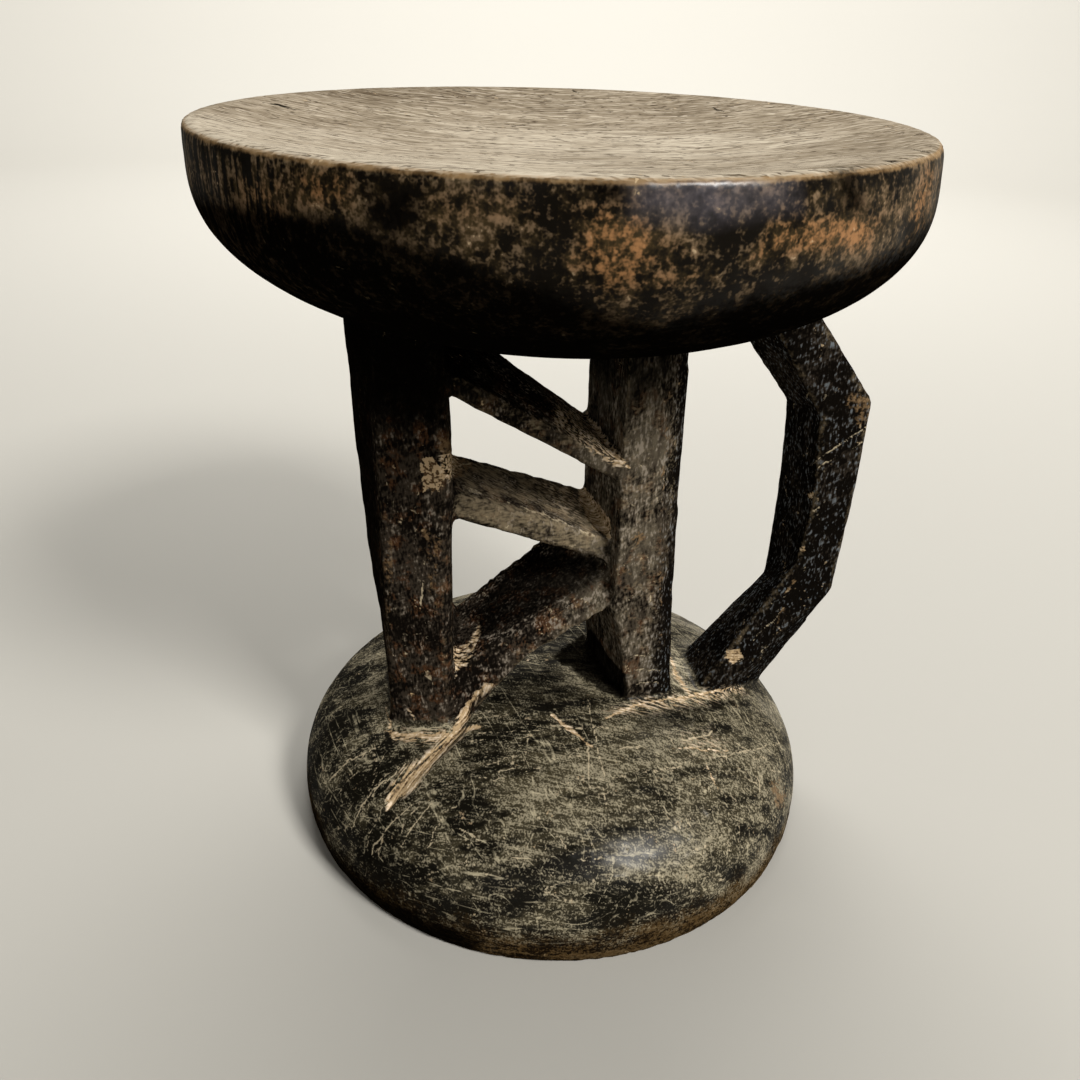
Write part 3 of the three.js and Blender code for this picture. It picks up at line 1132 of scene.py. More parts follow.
@dataclass(frozen=True)
class Bracket:
    """The bent bracket, with its chips and scratches."""

    turn: float = 6.5
    inner_side: float = 0.060

    def share(self, points: np.ndarray) -> np.ndarray:
        """Find which points are on the bracket, among those between seat and base."""
        angle = math.radians(self.turn)
        along = points[:, 0] * math.cos(angle) + points[:, 1] * math.sin(angle)
        return smooth_step(along, self.inner_side - 2 * MM, self.inner_side)

    def marks(self) -> list[Mark]:
        """List the marks of the bracket."""
        placed: list[Mark] = [
            Patch(
                "worn elbow", Trace.RUB,
                ((846, 392), (868, 396), (872, 412), (858, 424), (848, 410)), 8.0, 0.0, 0.8,
            ),
            Stroke("elbow scratch", Trace.SCRATCH, ((808, 467), (838, 446), (868, 427)), (1.6, 2.6, 1.6), 0.4, 0.6),
            Stroke(
                "second elbow scratch", Trace.SCRATCH,
                ((812, 472), (842, 454), (868, 440)), (1.4, 2.0, 1.4), 0.3, 0.5,
            ),
            Patch("small chip", Trace.RAW, ((809, 492), (814, 493), (813, 497), (809, 497)), 2.0, 0.4),
            Patch("middle chip", Trace.RAW, ((800, 547), (806, 548), (805, 553), (801, 553)), 2.0, 0.4, 0.8),
            Stroke("row of chips", Trace.RUB, ((794, 581), (789, 590), (784, 596)), (4, 5, 3), 0.4, 0.9),
            Stroke("lower row of chips", Trace.RUB, ((785, 608), (780, 614), (777, 621)), (4, 5, 3), 0.4, 0.9),
            Patch("pale chip", Trace.RAW, ((727, 651), (740, 650), (743, 657), (734, 664), (728, 660)), 2.5, 0.6),
            Stroke("fibre strokes", Trace.SCRATCH, ((752, 640), (766, 628), (780, 614)), (1.4, 2, 1.4), 0.2, 0.7),
        ]
        families = [
            ScratchFamily("strokes on the bracket", (815, 480), (40, 110), 100, 18, 10, 8, 44, 31, 1.3, 0.12, 0.5),
            ScratchFamily(
                "strokes at the bracket's foot", (745, 630), (50, 36), -40, 16, 12, 6, 24, 32, 1.3, 0.12, 0.5
            ),
        ]
        return with_scratches(placed, families)


# ---- Finish ----


@dataclass(frozen=True)
class Ground:
    """Where a spot of the wood is, and the patterns that all its surfaces share."""

    CLOUD_SIZE: ClassVar[float] = 28
    PATCH_SIZE: ClassVar[float] = 9
    CHANCE_SIZE: ClassVar[float] = 2.0

    place: Wire
    across: Wire
    back: Wire
    height: Wire
    cloud: Wire
    patch: Wire
    chance: Wire

    @classmethod
    def laid(cls, bench: Bench) -> "Ground":
        """Build the shared patterns.

        Args:
            bench: The material's tree.

        Returns:
            The patterns, with places in millimetres.
        """
        coordinates = bench.wire("ShaderNodeTexCoord", {}, {}, "Object")
        place = bench.scaled(coordinates, (1 / MM, 1 / MM, 1 / MM))
        across, back, height = (bench.wire("ShaderNodeSeparateXYZ", {}, {0: place}, axis) for axis in range(3))
        cloud = bench.mottle(bench.scaled(place, (0.65, 1, 1)), cls.CLOUD_SIZE, 0.66)
        patch = bench.mottle(place, cls.PATCH_SIZE, 0.68)
        chance = bench.mottle(place, cls.CHANCE_SIZE, 0.72)
        return cls(place, across, back, height, cloud, patch, chance)


@dataclass
class Layer:
    """One finish over the wood, ready to be mixed with others."""

    colour: Wire
    rough: Wire
    relief: "Wire | float" = 0.0
    polish: "Wire | float" = 0.0

    def cover(self, bench: Bench, colour: "Wire | str", share: Wire) -> None:
        """Lay a colour over this finish's own."""
        self.colour = bench.blend(self.colour, colour, share)


def mixed(bench: Bench, base: Layer, over: Layer, share: Wire) -> Layer:
    """Lay one finish over another.

    Args:
        bench: The material's tree.
        base: The lower finish.
        over: The upper finish.
        share: Where the upper one shows, from 0 to 1.

    Returns:
        Both as one finish.
    """
    return Layer(
        bench.blend(base.colour, over.colour, share),
        bench.level(base.rough, over.rough, share),
        bench.level(base.relief, over.relief, share),
        bench.level(base.polish, over.polish, share),
    )


@dataclass(frozen=True)
class WornSeatTop:
    """Bare grey-beige wood of the dished top, with grain from side to side."""

    light: str = "c3b8a5"
    pale: str = "a69b89"
    middle: str = "887c6a"
    shade: str = "645848"
    line: str = "413527"
    fleck: str = "2c1f15"
    rough: float = 0.6
    sway: float = 5
    grain_size: float = 2.0
    fine_size: float = 0.9
    streak_size: float = 12
    broad_size: float = 70
    speck_size: float = 1.6

    def lay(self, bench: Bench, ground: Ground) -> Layer:
        """Build the finish.

        Args:
            bench: The material's tree.
            ground: The patterns that all surfaces share.

        Returns:
            The finish.
        """
        place = ground.place
        sway = bench.wire("ShaderNodeCombineXYZ", {}, {1: (ground.cloud - 0.5) * self.sway})
        swayed = bench.vector("ADD", place, sway)
        grain = bench.mottle(bench.scaled(swayed, (0.055, 1, 0.4)), self.grain_size, 0.8)
        fine = bench.mottle(bench.scaled(swayed, (0.14, 1, 0.4)), self.fine_size, 0.8)
        streak = bench.mottle(bench.scaled(swayed, (0.1, 1, 0.4)), self.streak_size, 0.65)
        broad = bench.mottle(bench.scaled(place, (0.6, 1, 1)), self.broad_size, 0.55)
        speck = bench.mottle(bench.scaled(place, (0.35, 1, 1)), self.speck_size, 0.7)
        across = ground.across / HALF_SEAT
        backward = (ground.back / HALF_SEAT - across * 0.5).eased(-0.2, 1.1)
        rightward = across.eased(0.1, 1.0)
        # The top is painted darker towards the right as shade, where the dish turns away from the light; it also
        # darkens towards the back.
        tone = broad * 0.26 + ground.cloud * 0.2 + streak * 0.14 + backward * 0.42 + rightward * 0.3
        colour = bench.blend(self.pale, self.middle, tone.eased(0.2, 0.62))
        colour = bench.blend(colour, self.shade, tone.eased(0.5, 0.95) * 0.8)
        strand = grain * 0.55 + fine * 0.45
        colour = bench.blend(colour, self.line, strand.eased(0.46, 0.14) * 0.56)
        colour = bench.blend(colour, self.light, strand.eased(0.55, 0.9) * 0.45)
        flecks = (speck + ground.patch * 0.35).eased(1.02, 1.2)
        colour = bench.blend(colour, self.fleck, flecks * 0.75)
        return Layer(colour, self.rough + (streak - 0.5) * 0.1)


@dataclass(frozen=True)
class HandledSide:
    """Nearly black seat side, rubbed through to brown and orange crumbs in places, with painted shade below and
    painted sheen.
    """

    # Painted shade: the colour that the side takes below black_below, under the seat.
    black: str = "030302"
    dark: str = "0e0b07"
    brown: str = "382d1b"
    tan: str = "715e49"
    orange: str = "946840"
    # Colour of a painted sheen, laid on the side's polished patches.
    sheen: str = "565157"
    rough: float = 0.5
    crumb_size: float = 3.2
    fibre_size: float = 2.4
    black_below: float = 288
    unshaded_above: float = 308

    def lay(self, bench: Bench, ground: Ground) -> Layer:
        """Build the finish.

        Args:
            bench: The material's tree.
            ground: The patterns that all surfaces share.

        Returns:
            The finish.
        """
        rub = bench.trace(Trace.RUB)
        # Polished patches, which get a coat and a painted sheen.
        smooth = bench.trace(Trace.GREY_AND_SHEEN)
        crumb = bench.mottle(ground.place, self.crumb_size, 0.74) * 0.6 + ground.chance * 0.4
        fibre = bench.mottle(bench.scaled(ground.place, (1, 1, 0.1)), self.fibre_size, 0.7)
        along = ground.across / HALF_SEAT
        rightward = along.eased(-0.25, 0.7)
        leftward = along.eased(-0.4, -0.8)
        # Painted shade: below black_below millimetres the side turns black, under the seat.
        ragged = ground.height + (ground.cloud - 0.5) * 16 + (crumb - 0.5) * 10 + along * 8
        upper = ragged.eased(self.black_below, self.unshaded_above)
        worn = ground.cloud * 0.3 + ground.patch * 0.35 + crumb * 0.35 + rub * 0.46 - 0.1
        worn = worn + (fibre - 0.5) * (leftward * 0.8 + 0.1)
        colour = bench.blend(self.dark, self.brown, worn.eased(0.3, 0.76))
        warm = bench.blend(self.tan, self.orange, rub.eased(0.15, 0.8) * 0.8)
        bare = (worn * 0.62 + crumb * 0.45 - along.eased(0.75, 1.0) * 0.08).eased(0.48, 1.03)
        colour = bench.blend(colour, warm, bare)
        # Painted sheen over the polished patches.
        colour = bench.blend(colour, self.sheen, smooth * (0.15 + ground.patch * 0.5 + crumb * 0.4))
        colour = bench.blend(self.black, colour, upper)
        polish = upper * (0.08 + rightward * 0.2 + smooth * 0.5) * (0.4 + ground.cloud)
        return Layer(colour, self.rough + (crumb - 0.5) * 0.15 + bare * 0.12, polish=polish)


@dataclass(frozen=True)
class HewnPosts:
    """Dark posts, bars and bracket, stippled by the chisel and grey with age, with painted shade at their tops under
    the seat.
    """

    # Painted shade at the tops of the posts and bars, under the seat.
    black: str = "040403"
    dark: str = "0f0c09"
    middle: str = "352e26"
    red: str = "4a301d"
    grey: str = "5b5345"
    pale: str = "81776a"
    cold: str = "5f6a72"
    rough: float = 0.7
    stipple_size: float = 1.25
    stipple_relief: float = 0.15
    chop_size: float = 2.8
    chop_turn: float = 28
    chop_relief: float = 0.12
    blotch_size: float = 6
    black_above: float = 262
    unshaded_below: float = 222
    centre_from: tuple[float, float] = (-0.02, 0.16)
    bracket_from: tuple[float, float] = (0.34, 0.44)

    def lay(self, bench: Bench, ground: Ground) -> Layer:
        """Build the finish.

        Args:
            bench: The material's tree.
            ground: The patterns that all surfaces share.

        Returns:
            The finish.
        """
        place = ground.place
        chopped = bench.turned(place, (0, self.chop_turn, 0))
        stipple = bench.mottle(bench.scaled(place, (1, 1, 0.45)), self.stipple_size, 0.8)
        chop = bench.mottle(bench.scaled(chopped, (0.35, 1, 1.3)), self.chop_size, 0.7)
        blotch = bench.mottle(bench.scaled(place, (1, 1, 0.4)), self.blotch_size, 0.7)
        along = ground.across / HALF_SEAT
        bracket = along.eased(*self.bracket_from)
        centre = along.eased(*self.centre_from) * (1 - bracket)
        # Painted shade: above black_above millimetres the posts and bars turn black under the seat; the bracket is
        # instead darkened evenly.
        ragged = ground.height + (ground.cloud - 0.5) * 24 + (chop - 0.5) * 10
        low = ragged.eased(self.black_above, self.unshaded_below)
        worn = ground.cloud * 0.3 + blotch * 0.2 + chop * 0.2 + stipple * 0.3 + centre * 0.14 - bracket * 0.12
        body = bench.blend(self.middle, self.red, ground.patch.eased(0.5, 0.9) * (1 - bracket) * 0.8)
        body = bench.blend(body, self.grey, centre * (blotch * 0.9))
        colour = bench.blend(self.dark, body, worn.eased(0.32, 0.7))
        specks = stipple * 0.42 + chop * 0.23 + blotch * 0.35 + centre * 0.05 + bracket * (stipple - blotch) * 0.2
        specks = (specks - bracket * 0.04 - along.eased(-0.2, -0.3) * 0.05).eased(0.62, 0.95)
        colour = bench.blend(colour, bench.blend(self.pale, self.cold, bracket * 0.8), specks * 0.9)
        colour = bench.blend(self.black, colour, bench.level(low, 0.75, bracket) + 0.03)
        relief = (stipple - 0.5) * self.stipple_relief + (chop - 0.5) * self.chop_relief
        return Layer(colour, self.rough + (stipple - 0.5) * 0.2, relief)


@dataclass(frozen=True)
class ScuffedDome:
    """Brown-grey dome, scuffed and scratched, with a brown band above the floor, and painted light and shade."""

    dark: str = "100e09"
    middle: str = "3b3526"
    pale: str = "8d846e"
    thread: str = "aca186"
    band: str = "513f26"
    band_dark: str = "171009"
    rough: float = 0.45
    half_width: float = 140
    band_low: float = 10.0
    band_high: float = 27.0
    flat_turn: float = 10
    steep_turn: float = 64
    arc_turn: float = -14
    arc_size: float = 9
    crumb_size: float = 0.85
    scuff_size: float = 1.5
    scuff_relief: float = 0.13
    cross_size: float = 1.7
    thread_width: float = 0.022

    def lay(self, bench: Bench, ground: Ground) -> Layer:
        """Build the finish.

        Args:
            bench: The material's tree.
            ground: The patterns that all surfaces share.

        Returns:
            The finish.
        """
        place = ground.place
        turns = (self.flat_turn, self.steep_turn, self.arc_turn)
        flat, steep, arc = (bench.turned(place, (0, 0, turn)) for turn in turns)
        arcs = bench.mottle(bench.scaled(arc, (0.2, 1.3, 1)), self.arc_size, 0.68)
        crumb = bench.mottle(place, self.crumb_size, 0.75)
        scuff = bench.mottle(bench.scaled(flat, (0.13, 1, 1)), self.scuff_size, 0.75)
        cross = bench.mottle(bench.scaled(steep, (0.13, 1, 1)), self.cross_size, 0.75)
        along = ground.across / self.half_width
        rightward = along.eased(-0.7, 1.0)
        # Painted light and shade: lighter towards the right, where the light comes from, and darker towards the foot;
        # also darker at the crown.
        tone = ground.cloud * 0.45 + arcs * 0.35 + rightward * 0.18
        tone = tone - ground.height.eased(62, 24) * 0.16 - ground.height.eased(66, 84) * 0.06
        colour = bench.blend(self.dark, self.middle, tone.eased(0.25, 0.65))
        salt = crumb * 0.42 + scuff * 0.34 + cross * 0.24
        colour = bench.blend(colour, self.pale, (salt * 0.68 + tone * 0.6).eased(0.54, 0.94) * 0.9)
        lying, rising = scuff.eased(0.2, 0.8) * ground.cloud, cross.eased(0.2, 0.8) * arcs
        lines = bench.threads(bench.scaled(flat, (0.05, 1, 1)), 7, self.thread_width, lying)
        lines = lines + bench.threads(bench.scaled(steep, (0.07, 1, 1)), 8, self.thread_width, rising)
        colour = bench.blend(colour, self.thread, lines * 0.8)
        ragged = ground.height + (ground.cloud - 0.5) * 8 + (crumb - 0.5) * 5
        low = ragged.eased(self.band_high, self.band_low)
        # Painted shade: the band is darker towards the left.
        ends = salt * 0.45 + arcs * 0.3 + ground.chance * 0.25 + along * 0.08
        colour = bench.blend(colour, bench.blend(self.band_dark, self.band, ends.eased(0.35, 0.72)), low * 0.9)
        relief = (scuff - 0.5) * self.scuff_relief
        polish = (0.1 + rightward * 0.3) * (1 - low) * (0.3 + ground.cloud)
        rough = self.rough + (crumb - 0.5) * 0.1 + (ground.cloud - 0.5) * 0.12 + low * 0.2
        return Layer(colour, rough, relief, polish)


@dataclass(frozen=True)
class AgedWood:
    """The whole finish: four surfaces, with the marks and worn edges over them."""

    name: str = "aged_wood"
    top: WornSeatTop = WornSeatTop()
    side: HandledSide = HandledSide()
    posts: HewnPosts = HewnPosts()
    dome: ScuffedDome = ScuffedDome()
    rim_line: str = "8c6e49"
    raw: str = "a9916f"
    raw_light: str = "dac6ac"
    raw_shade: str = "4a3826"
    scratch: str = "b4a589"
    rubbed: str = "705a40"
    greyed: str = "7d705a"
    # Near-black colour of grime and of painted shade.
    soot: str = "050403"
    knot: str = "ab9474"
    edge: str = "73654f"
    rim_width: float = 2.3
    gloss: float = 0.0
    polish_rough: float = 0.34
    raw_rough: float = 0.75
    straight_turn: float = 8
    torn_turn: float = -53
    fibre_size: float = 1.2
    torn_relief: float = 0.3

    def material(self) -> bpy.types.Material:
        """Build the material.

        Returns:
            The aged wood.
        """
        material = bpy.data.materials.new(self.name)
        material.use_nodes = True
        bench = Bench(material.node_tree)
        shader = material.node_tree.nodes["Principled BSDF"]
        ground = Ground.laid(bench)
        layer = self._surfaces(bench, ground)
        layer = self._edges(bench, ground, layer)
        layer = self._marks(bench, ground, layer)
        bump = bench.wire("ShaderNodeBump", {}, {"Strength": 1.0, "Distance": 1.0, "Height": layer.relief * MM})
        shader.inputs["Specular IOR Level"].default_value = self.gloss
        shader.inputs["Coat Roughness"].default_value = self.polish_rough
        links = material.node_tree.links
        links.new(layer.polish.socket, shader.inputs["Coat Weight"])
        links.new(layer.colour.socket, shader.inputs["Base Color"])
        links.new(layer.rough.socket, shader.inputs["Roughness"])
        links.new(bump.socket, shader.inputs["Normal"])
        return material

    def _surfaces(self, bench: Bench, ground: Ground) -> Layer:
        """Join the four surfaces of the wood."""
        layer = self.posts.lay(bench, ground)
        layer = mixed(bench, layer, self.dome.lay(bench, ground), bench.trace(Trace.BASE))
        ragged = bench.trace(Trace.RIM) + (ground.patch - 0.5) * 0.8 + (ground.chance - 0.5) * 0.5
        seat = mixed(bench, self.side.lay(bench, ground), self.top.lay(bench, ground), ragged.eased(-0.6, 0.7))
        line = ragged.size().eased(self.rim_width, self.rim_width * 0.3)
        seat.cover(bench, self.rim_line, line * (0.15 + ground.patch * 0.6))
        return mixed(bench, layer, seat, bench.trace(Trace.SEAT).eased(0.3, 0.7))

    def _edges(self, bench: Bench, ground: Ground, layer: Layer) -> Layer:
        """Wear the edges pale and blacken the creases with grime and painted shade."""
        edge = bench.trace(Trace.EDGE)
        share = (edge + (ground.patch - 0.6) * 0.45 + (ground.chance - 0.5) * 0.3).eased(0.25, 0.85)
        layer.cover(bench, self.edge, share * 0.45)
        # Grime and painted shade in the creases.
        crease = (edge + (ground.chance - 0.5) * 0.25).eased(-0.12, -0.55)
        layer.cover(bench, self.soot, crease * 0.8)
        layer.rough = layer.rough - share * 0.08 + crease * 0.3
        return layer

    def _marks(self, bench: Bench, ground: Ground, layer: Layer) -> Layer:
        """Lay the marks over the surfaces."""
        chance, broad, place = ground.chance, ground.patch, ground.place
        split = bench.trace(Trace.SPLIT)
        away = 1 - bench.trace(Trace.SEAT)
        lengthwise, slanting = (bench.turned(place, (0, 0, turn)) for turn in (self.straight_turn, self.torn_turn))
        straight = bench.mottle(bench.scaled(lengthwise, (0.06, 1, 1)), self.fibre_size, 0.75)
        torn = bench.mottle(bench.scaled(slanting, (0.06, 1, 0.1)), self.fibre_size, 0.75)
        fibre = bench.level(straight, torn, split.eased(0, 0.1))
        # Grey of age on the posts and bars, and a painted highlight on the centre post's lit facet.
        grey = bench.trace(Trace.GREY_AND_SHEEN) * away
        greyed = (grey * 0.8 + straight * 0.4 + chance * 0.15 + broad * 0.45 - 0.55).eased(0.15, 0.95)
        greyed = greyed * grey.eased(0, 0.25)
        layer.cover(bench, self.greyed, greyed * 0.8)
        worn = bench.trace(Trace.RUB) * away
        rub = (worn * 0.8 + chance * 0.5 + broad * 0.5 - 0.6).eased(0.25, 0.75) * worn.eased(0, 0.2)
        layer.cover(bench, self.rubbed, rub * 0.85)
        knot = (bench.trace(Trace.KNOT) + (chance - 0.5) * 0.5 + (broad - 0.5) * 0.5).eased(0.4, 0.55)
        crumbs = bench.blend(self.raw_shade, self.knot, chance.eased(0.2, 0.6))
        layer.cover(bench, crumbs, knot)
        scratch = (bench.trace(Trace.SCRATCH) + (chance - 0.5) * 0.3 + (broad - 0.5) * 0.3).eased(0.22, 0.6)
        layer.cover(bench, self.scratch, scratch * 0.75)
        bare = bench.trace(Trace.RAW).most(split)
        raw = (bare + (fibre - 0.5) * 0.7 + (chance - 0.5) * 0.2).eased(0.28, 0.5) * bare.eased(0, 0.6)
        strand = fibre * 0.65 + chance * 0.35
        wood = bench.blend(self.raw_shade, self.raw, strand.eased(0.05, 0.48))
        wood = bench.blend(wood, self.raw_light, strand.eased(0.55, 0.95))
        layer.cover(bench, wood, raw)
        layer.rough = bench.level(layer.rough, self.raw_rough, raw)
        layer.relief = layer.relief + split * (torn - 0.5) * self.torn_relief
        # Dark marks: mostly painted shade and painted shadow, with some grime.
        soot = (bench.trace(Trace.GRIME_AND_SHADE) + (chance - 0.5) * 0.2).eased(0.15, 0.8)
        layer.cover(bench, self.soot, soot * 0.92)
        layer.polish = layer.polish * (1 - soot) * (1 - raw)
        return layer


# ---- Surface ----


@dataclass(frozen=True)
class ToolMarks:
    """Shallow facets and ripples that the adze and chisel left, grown by a node tree."""

    facet: tuple[float, float, float] = (0.026, 0.013, 0.013)
    facet_depth: float = 0.0013
    ripple: float = 0.007
    ripple_depth: float = 0.0007
    ripple_layers: float = 3.0
    smoothness: float = 0.25
    seed: float = 4.0

    def tree(self) -> bpy.types.NodeTree:
        """Build the node tree.

        Returns:
            A tree that moves each point along its normal.
        """
        tree = bpy.data.node_groups.new("tool_marks", "GeometryNodeTree")
        sockets = (
            ("Wood", "NodeSocketGeometry"),
            ("Facet Size", "NodeSocketVector"),
            ("Facet Depth", "NodeSocketFloat"),
            ("Ripple Size", "NodeSocketFloat"),
            ("Ripple Depth", "NodeSocketFloat"),
            ("Seed", "NodeSocketFloat"),
            ("Finish", "NodeSocketMaterial"),
        )
        for name, kind in sockets:
            tree.interface.new_socket(name, in_out="INPUT", socket_type=kind)
        tree.interface.new_socket("Hewn Wood", in_out="OUTPUT", socket_type="NodeSocketGeometry")
        bench = Bench(tree)
        given = bench.node("NodeGroupInput")
        wood, size, depth, ripple, ripple_depth, seed, finish = (Wire(bench, given.outputs[n]) for n, _ in sockets)
        space, hewn = (
            bench.wire("GeometryNodeInputNamedAttribute", {"data_type": kind}, {"Name": trace.value}, "Attribute")
            for kind, trace in (("FLOAT_VECTOR", Trace.TOOL), ("FLOAT", Trace.HEWN))
        )
        shift = bench.wire("ShaderNodeCombineXYZ", {}, {0: seed * 7.3, 1: seed * 3.1, 2: seed})
        cut = bench.vector("ADD", bench.vector("DIVIDE", space, size), shift)
        cells = {"Vector": cut, "Scale": 1.0, "Smoothness": self.smoothness}
        cell = bench.node("ShaderNodeTexVoronoi", {"feature": "SMOOTH_F1"}, cells)
        lean = bench.vector("SUBTRACT", Wire(bench, cell.outputs["Color"]), (0.5, 0.5, 0.5))
        away = bench.vector("SUBTRACT", cut, Wire(bench, cell.outputs["Position"]))
        tilt = bench.vector("DOT_PRODUCT", away, lean, "Value")
        wave = bench.noise(space, ripple, self.ripple_layers)
        height = (tilt * depth + (wave - 0.5) * ripple_depth) * hewn
        normal = bench.wire("GeometryNodeInputNormal")
        offset = bench.wire("ShaderNodeVectorMath", {"operation": "SCALE"}, {0: normal, "Scale": height})
        shaped = bench.wire("GeometryNodeSetPosition", {}, {"Geometry": wood, "Offset": offset})
        real = bench.wire("GeometryNodeRealizeInstances", {}, {"Geometry": shaped})
        dressed = bench.wire("GeometryNodeSetMaterial", {}, {"Geometry": real, "Material": finish})
        bench.node("NodeGroupOutput", {}, {0: dressed})
        return tree

    def grow(self, wood: bpy.types.Object, finish: bpy.types.Material) -> bpy.types.Mesh:
        """Run the tree on the wood.

        Args:
            wood: The object whose mesh has the hewn and tool space traces.
            finish: The material that the result gets.

        Returns:
            The shaped mesh, with the object's modifiers gone.
        """
        tree = self.tree()
        values = {
            "Facet Size": self.facet,
            "Facet Depth": self.facet_depth,
            "Ripple Size": self.ripple,
            "Ripple Depth": self.ripple_depth,
            "Seed": self.seed,
            "Finish": finish,
        }
        modifier = wood.modifiers.new("tool marks", "NODES")
        modifier.node_group = tree
        for socket in tree.interface.items_tree:
            if socket.item_type == "SOCKET" and socket.in_out == "INPUT" and socket.name in values:
                modifier[socket.identifier] = values[socket.name]
        return evaluated(wood)


def evaluated(thing: bpy.types.Object) -> bpy.types.Mesh:
    """Turn an object with modifiers into a plain mesh, and take the modifiers off.

    Args:
        thing: A mesh object with live modifiers.

    Returns:
        The mesh that they make, which is also the object's mesh now.
    """
    graph = bpy.context.evaluated_depsgraph_get()
    mesh = bpy.data.meshes.new_from_object(thing.evaluated_get(graph), preserve_all_data_layers=True, depsgraph=graph)
    thing.modifiers.clear()
    old, thing.data = thing.data, mesh
    bpy.data.meshes.remove(old)
    return mesh


def read_points(mesh: bpy.types.Mesh) -> np.ndarray:
    """Places of a mesh's points, one a row."""
    flat = np.empty(len(mesh.vertices) * 3, np.float32)
    mesh.vertices.foreach_get("co", flat)
    return flat.reshape(-1, 3).astype(float)


def write_points(mesh: bpy.types.Mesh, points: np.ndarray) -> None:
    """Move a mesh's points to these places."""
    mesh.vertices.foreach_set("co", points.astype(np.float32).ravel())
    mesh.update()


def read_normals(mesh: bpy.types.Mesh) -> np.ndarray:
    """Directions in which a mesh's points face, one a row."""
    flat = np.empty(len(mesh.vertices) * 3, np.float32)
    mesh.vertex_normals.foreach_get("vector", flat)
    return flat.reshape(-1, 3).astype(float)


def read_trace(mesh: bpy.types.Mesh, trace: Trace) -> np.ndarray:
    """Values stored at a mesh's points."""
    values = np.empty(len(mesh.vertices), np.float32)
    mesh.attributes[trace.value].data.foreach_get("value", values)
    return values.astype(float)


def write_trace(mesh: bpy.types.Mesh, trace: Trace, values: np.ndarray) -> None:
    """Store a value or a vector at each of a mesh's points.

    Args:
        mesh: The wood.
        trace: The name under which the values are kept.
        values: One number or one vector for each point.
    """
    vectors = values.ndim == 2
    kind, field = ("FLOAT_VECTOR", "vector") if vectors else ("FLOAT", "value")
    layer = mesh.attributes.get(trace.value) or mesh.attributes.new(trace.value, kind, "POINT")
    layer.data.foreach_set(field, values.astype(np.float32).ravel())


def lattice_noise(points: np.ndarray, size: float, seed: int, side: int = 64) -> np.ndarray:
    """Smooth noise in space, the same at every run.

    Args:
        points: Places, one a row.
        size: How far apart its random values stand.
        seed: Which noise it is.
        side: After how many values it repeats.

    Returns:
        A value from -1 to 1 for each place.
    """
    values = np.random.default_rng(seed).uniform(-1, 1, (side, side, side))
    cell = np.floor(points / size).astype(int)
    part = points / size - cell
    part = part * part * (3 - 2 * part)
    total = np.zeros(len(points))
    for corner in np.ndindex(2, 2, 2):
        weight = np.prod(np.where(np.array(corner) == 1, part, 1 - part), axis=1)
        x, y, z = ((cell + corner) % side).T
        total += weight * values[x, y, z]
    return total


def relaxed(mesh: bpy.types.Mesh, points: np.ndarray, weight: np.ndarray, rounds: int) -> np.ndarray:
    """Draw each point towards the middle of its neighbours.

    Args:
        mesh: The mesh whose edges join the points.
        points: Where the points are.
        weight: How far each point goes in a round, from 0 to 1.
        rounds: How many times this is done.

    Returns:
        The new places.
    """
    pairs = np.empty(len(mesh.edges) * 2, np.int64)
    mesh.edges.foreach_get("vertices", pairs)
    first, second = pairs.reshape(-1, 2).T
    number = len(points)
    degree = np.bincount(first, minlength=number) + np.bincount(second, minlength=number)
    moved = points.copy()
    for _ in range(rounds):
        middle = np.empty_like(moved)
        for axis in range(3):
            along = moved[:, axis]
            total = np.bincount(first, along[second], number) + np.bincount(second, along[first], number)
            middle[:, axis] = total / np.maximum(degree, 1)
        moved += weight[:, None] * (middle - moved)
    return moved


# ---- The stool ----


@dataclass(frozen=True)
class Foot:
    """Heights above the floor from which the wood is treated in each way, in metres."""

    full_faces: float = 0.5 * MM
    worn: float = 1 * MM
    hewn: float = 1.2 * MM
    rounded: float = 2 * MM
    turned_under: float = 3 * MM


@dataclass(frozen=True)
class Tooling:
    """How strongly each part is hewn, from 0 to 1."""

    seat_side: float = 0.22
    seat_top: float = 0.1
    base: float = 0.75
    posts: float = 0.7
    under: tuple[float, float] = (0.3, 0.8)


@dataclass(frozen=True)
class Borders:
    """Shares at which a point takes, or no longer takes, the marks of a part."""

    on_seat: float = 0.4
    off_seat: float = 0.6
    on_base: float = 0.2
    off_base: float = 0.8
    base_height: float = 0.09
    off_bracket: float = 0.5
    on_bracket: float = 0.4


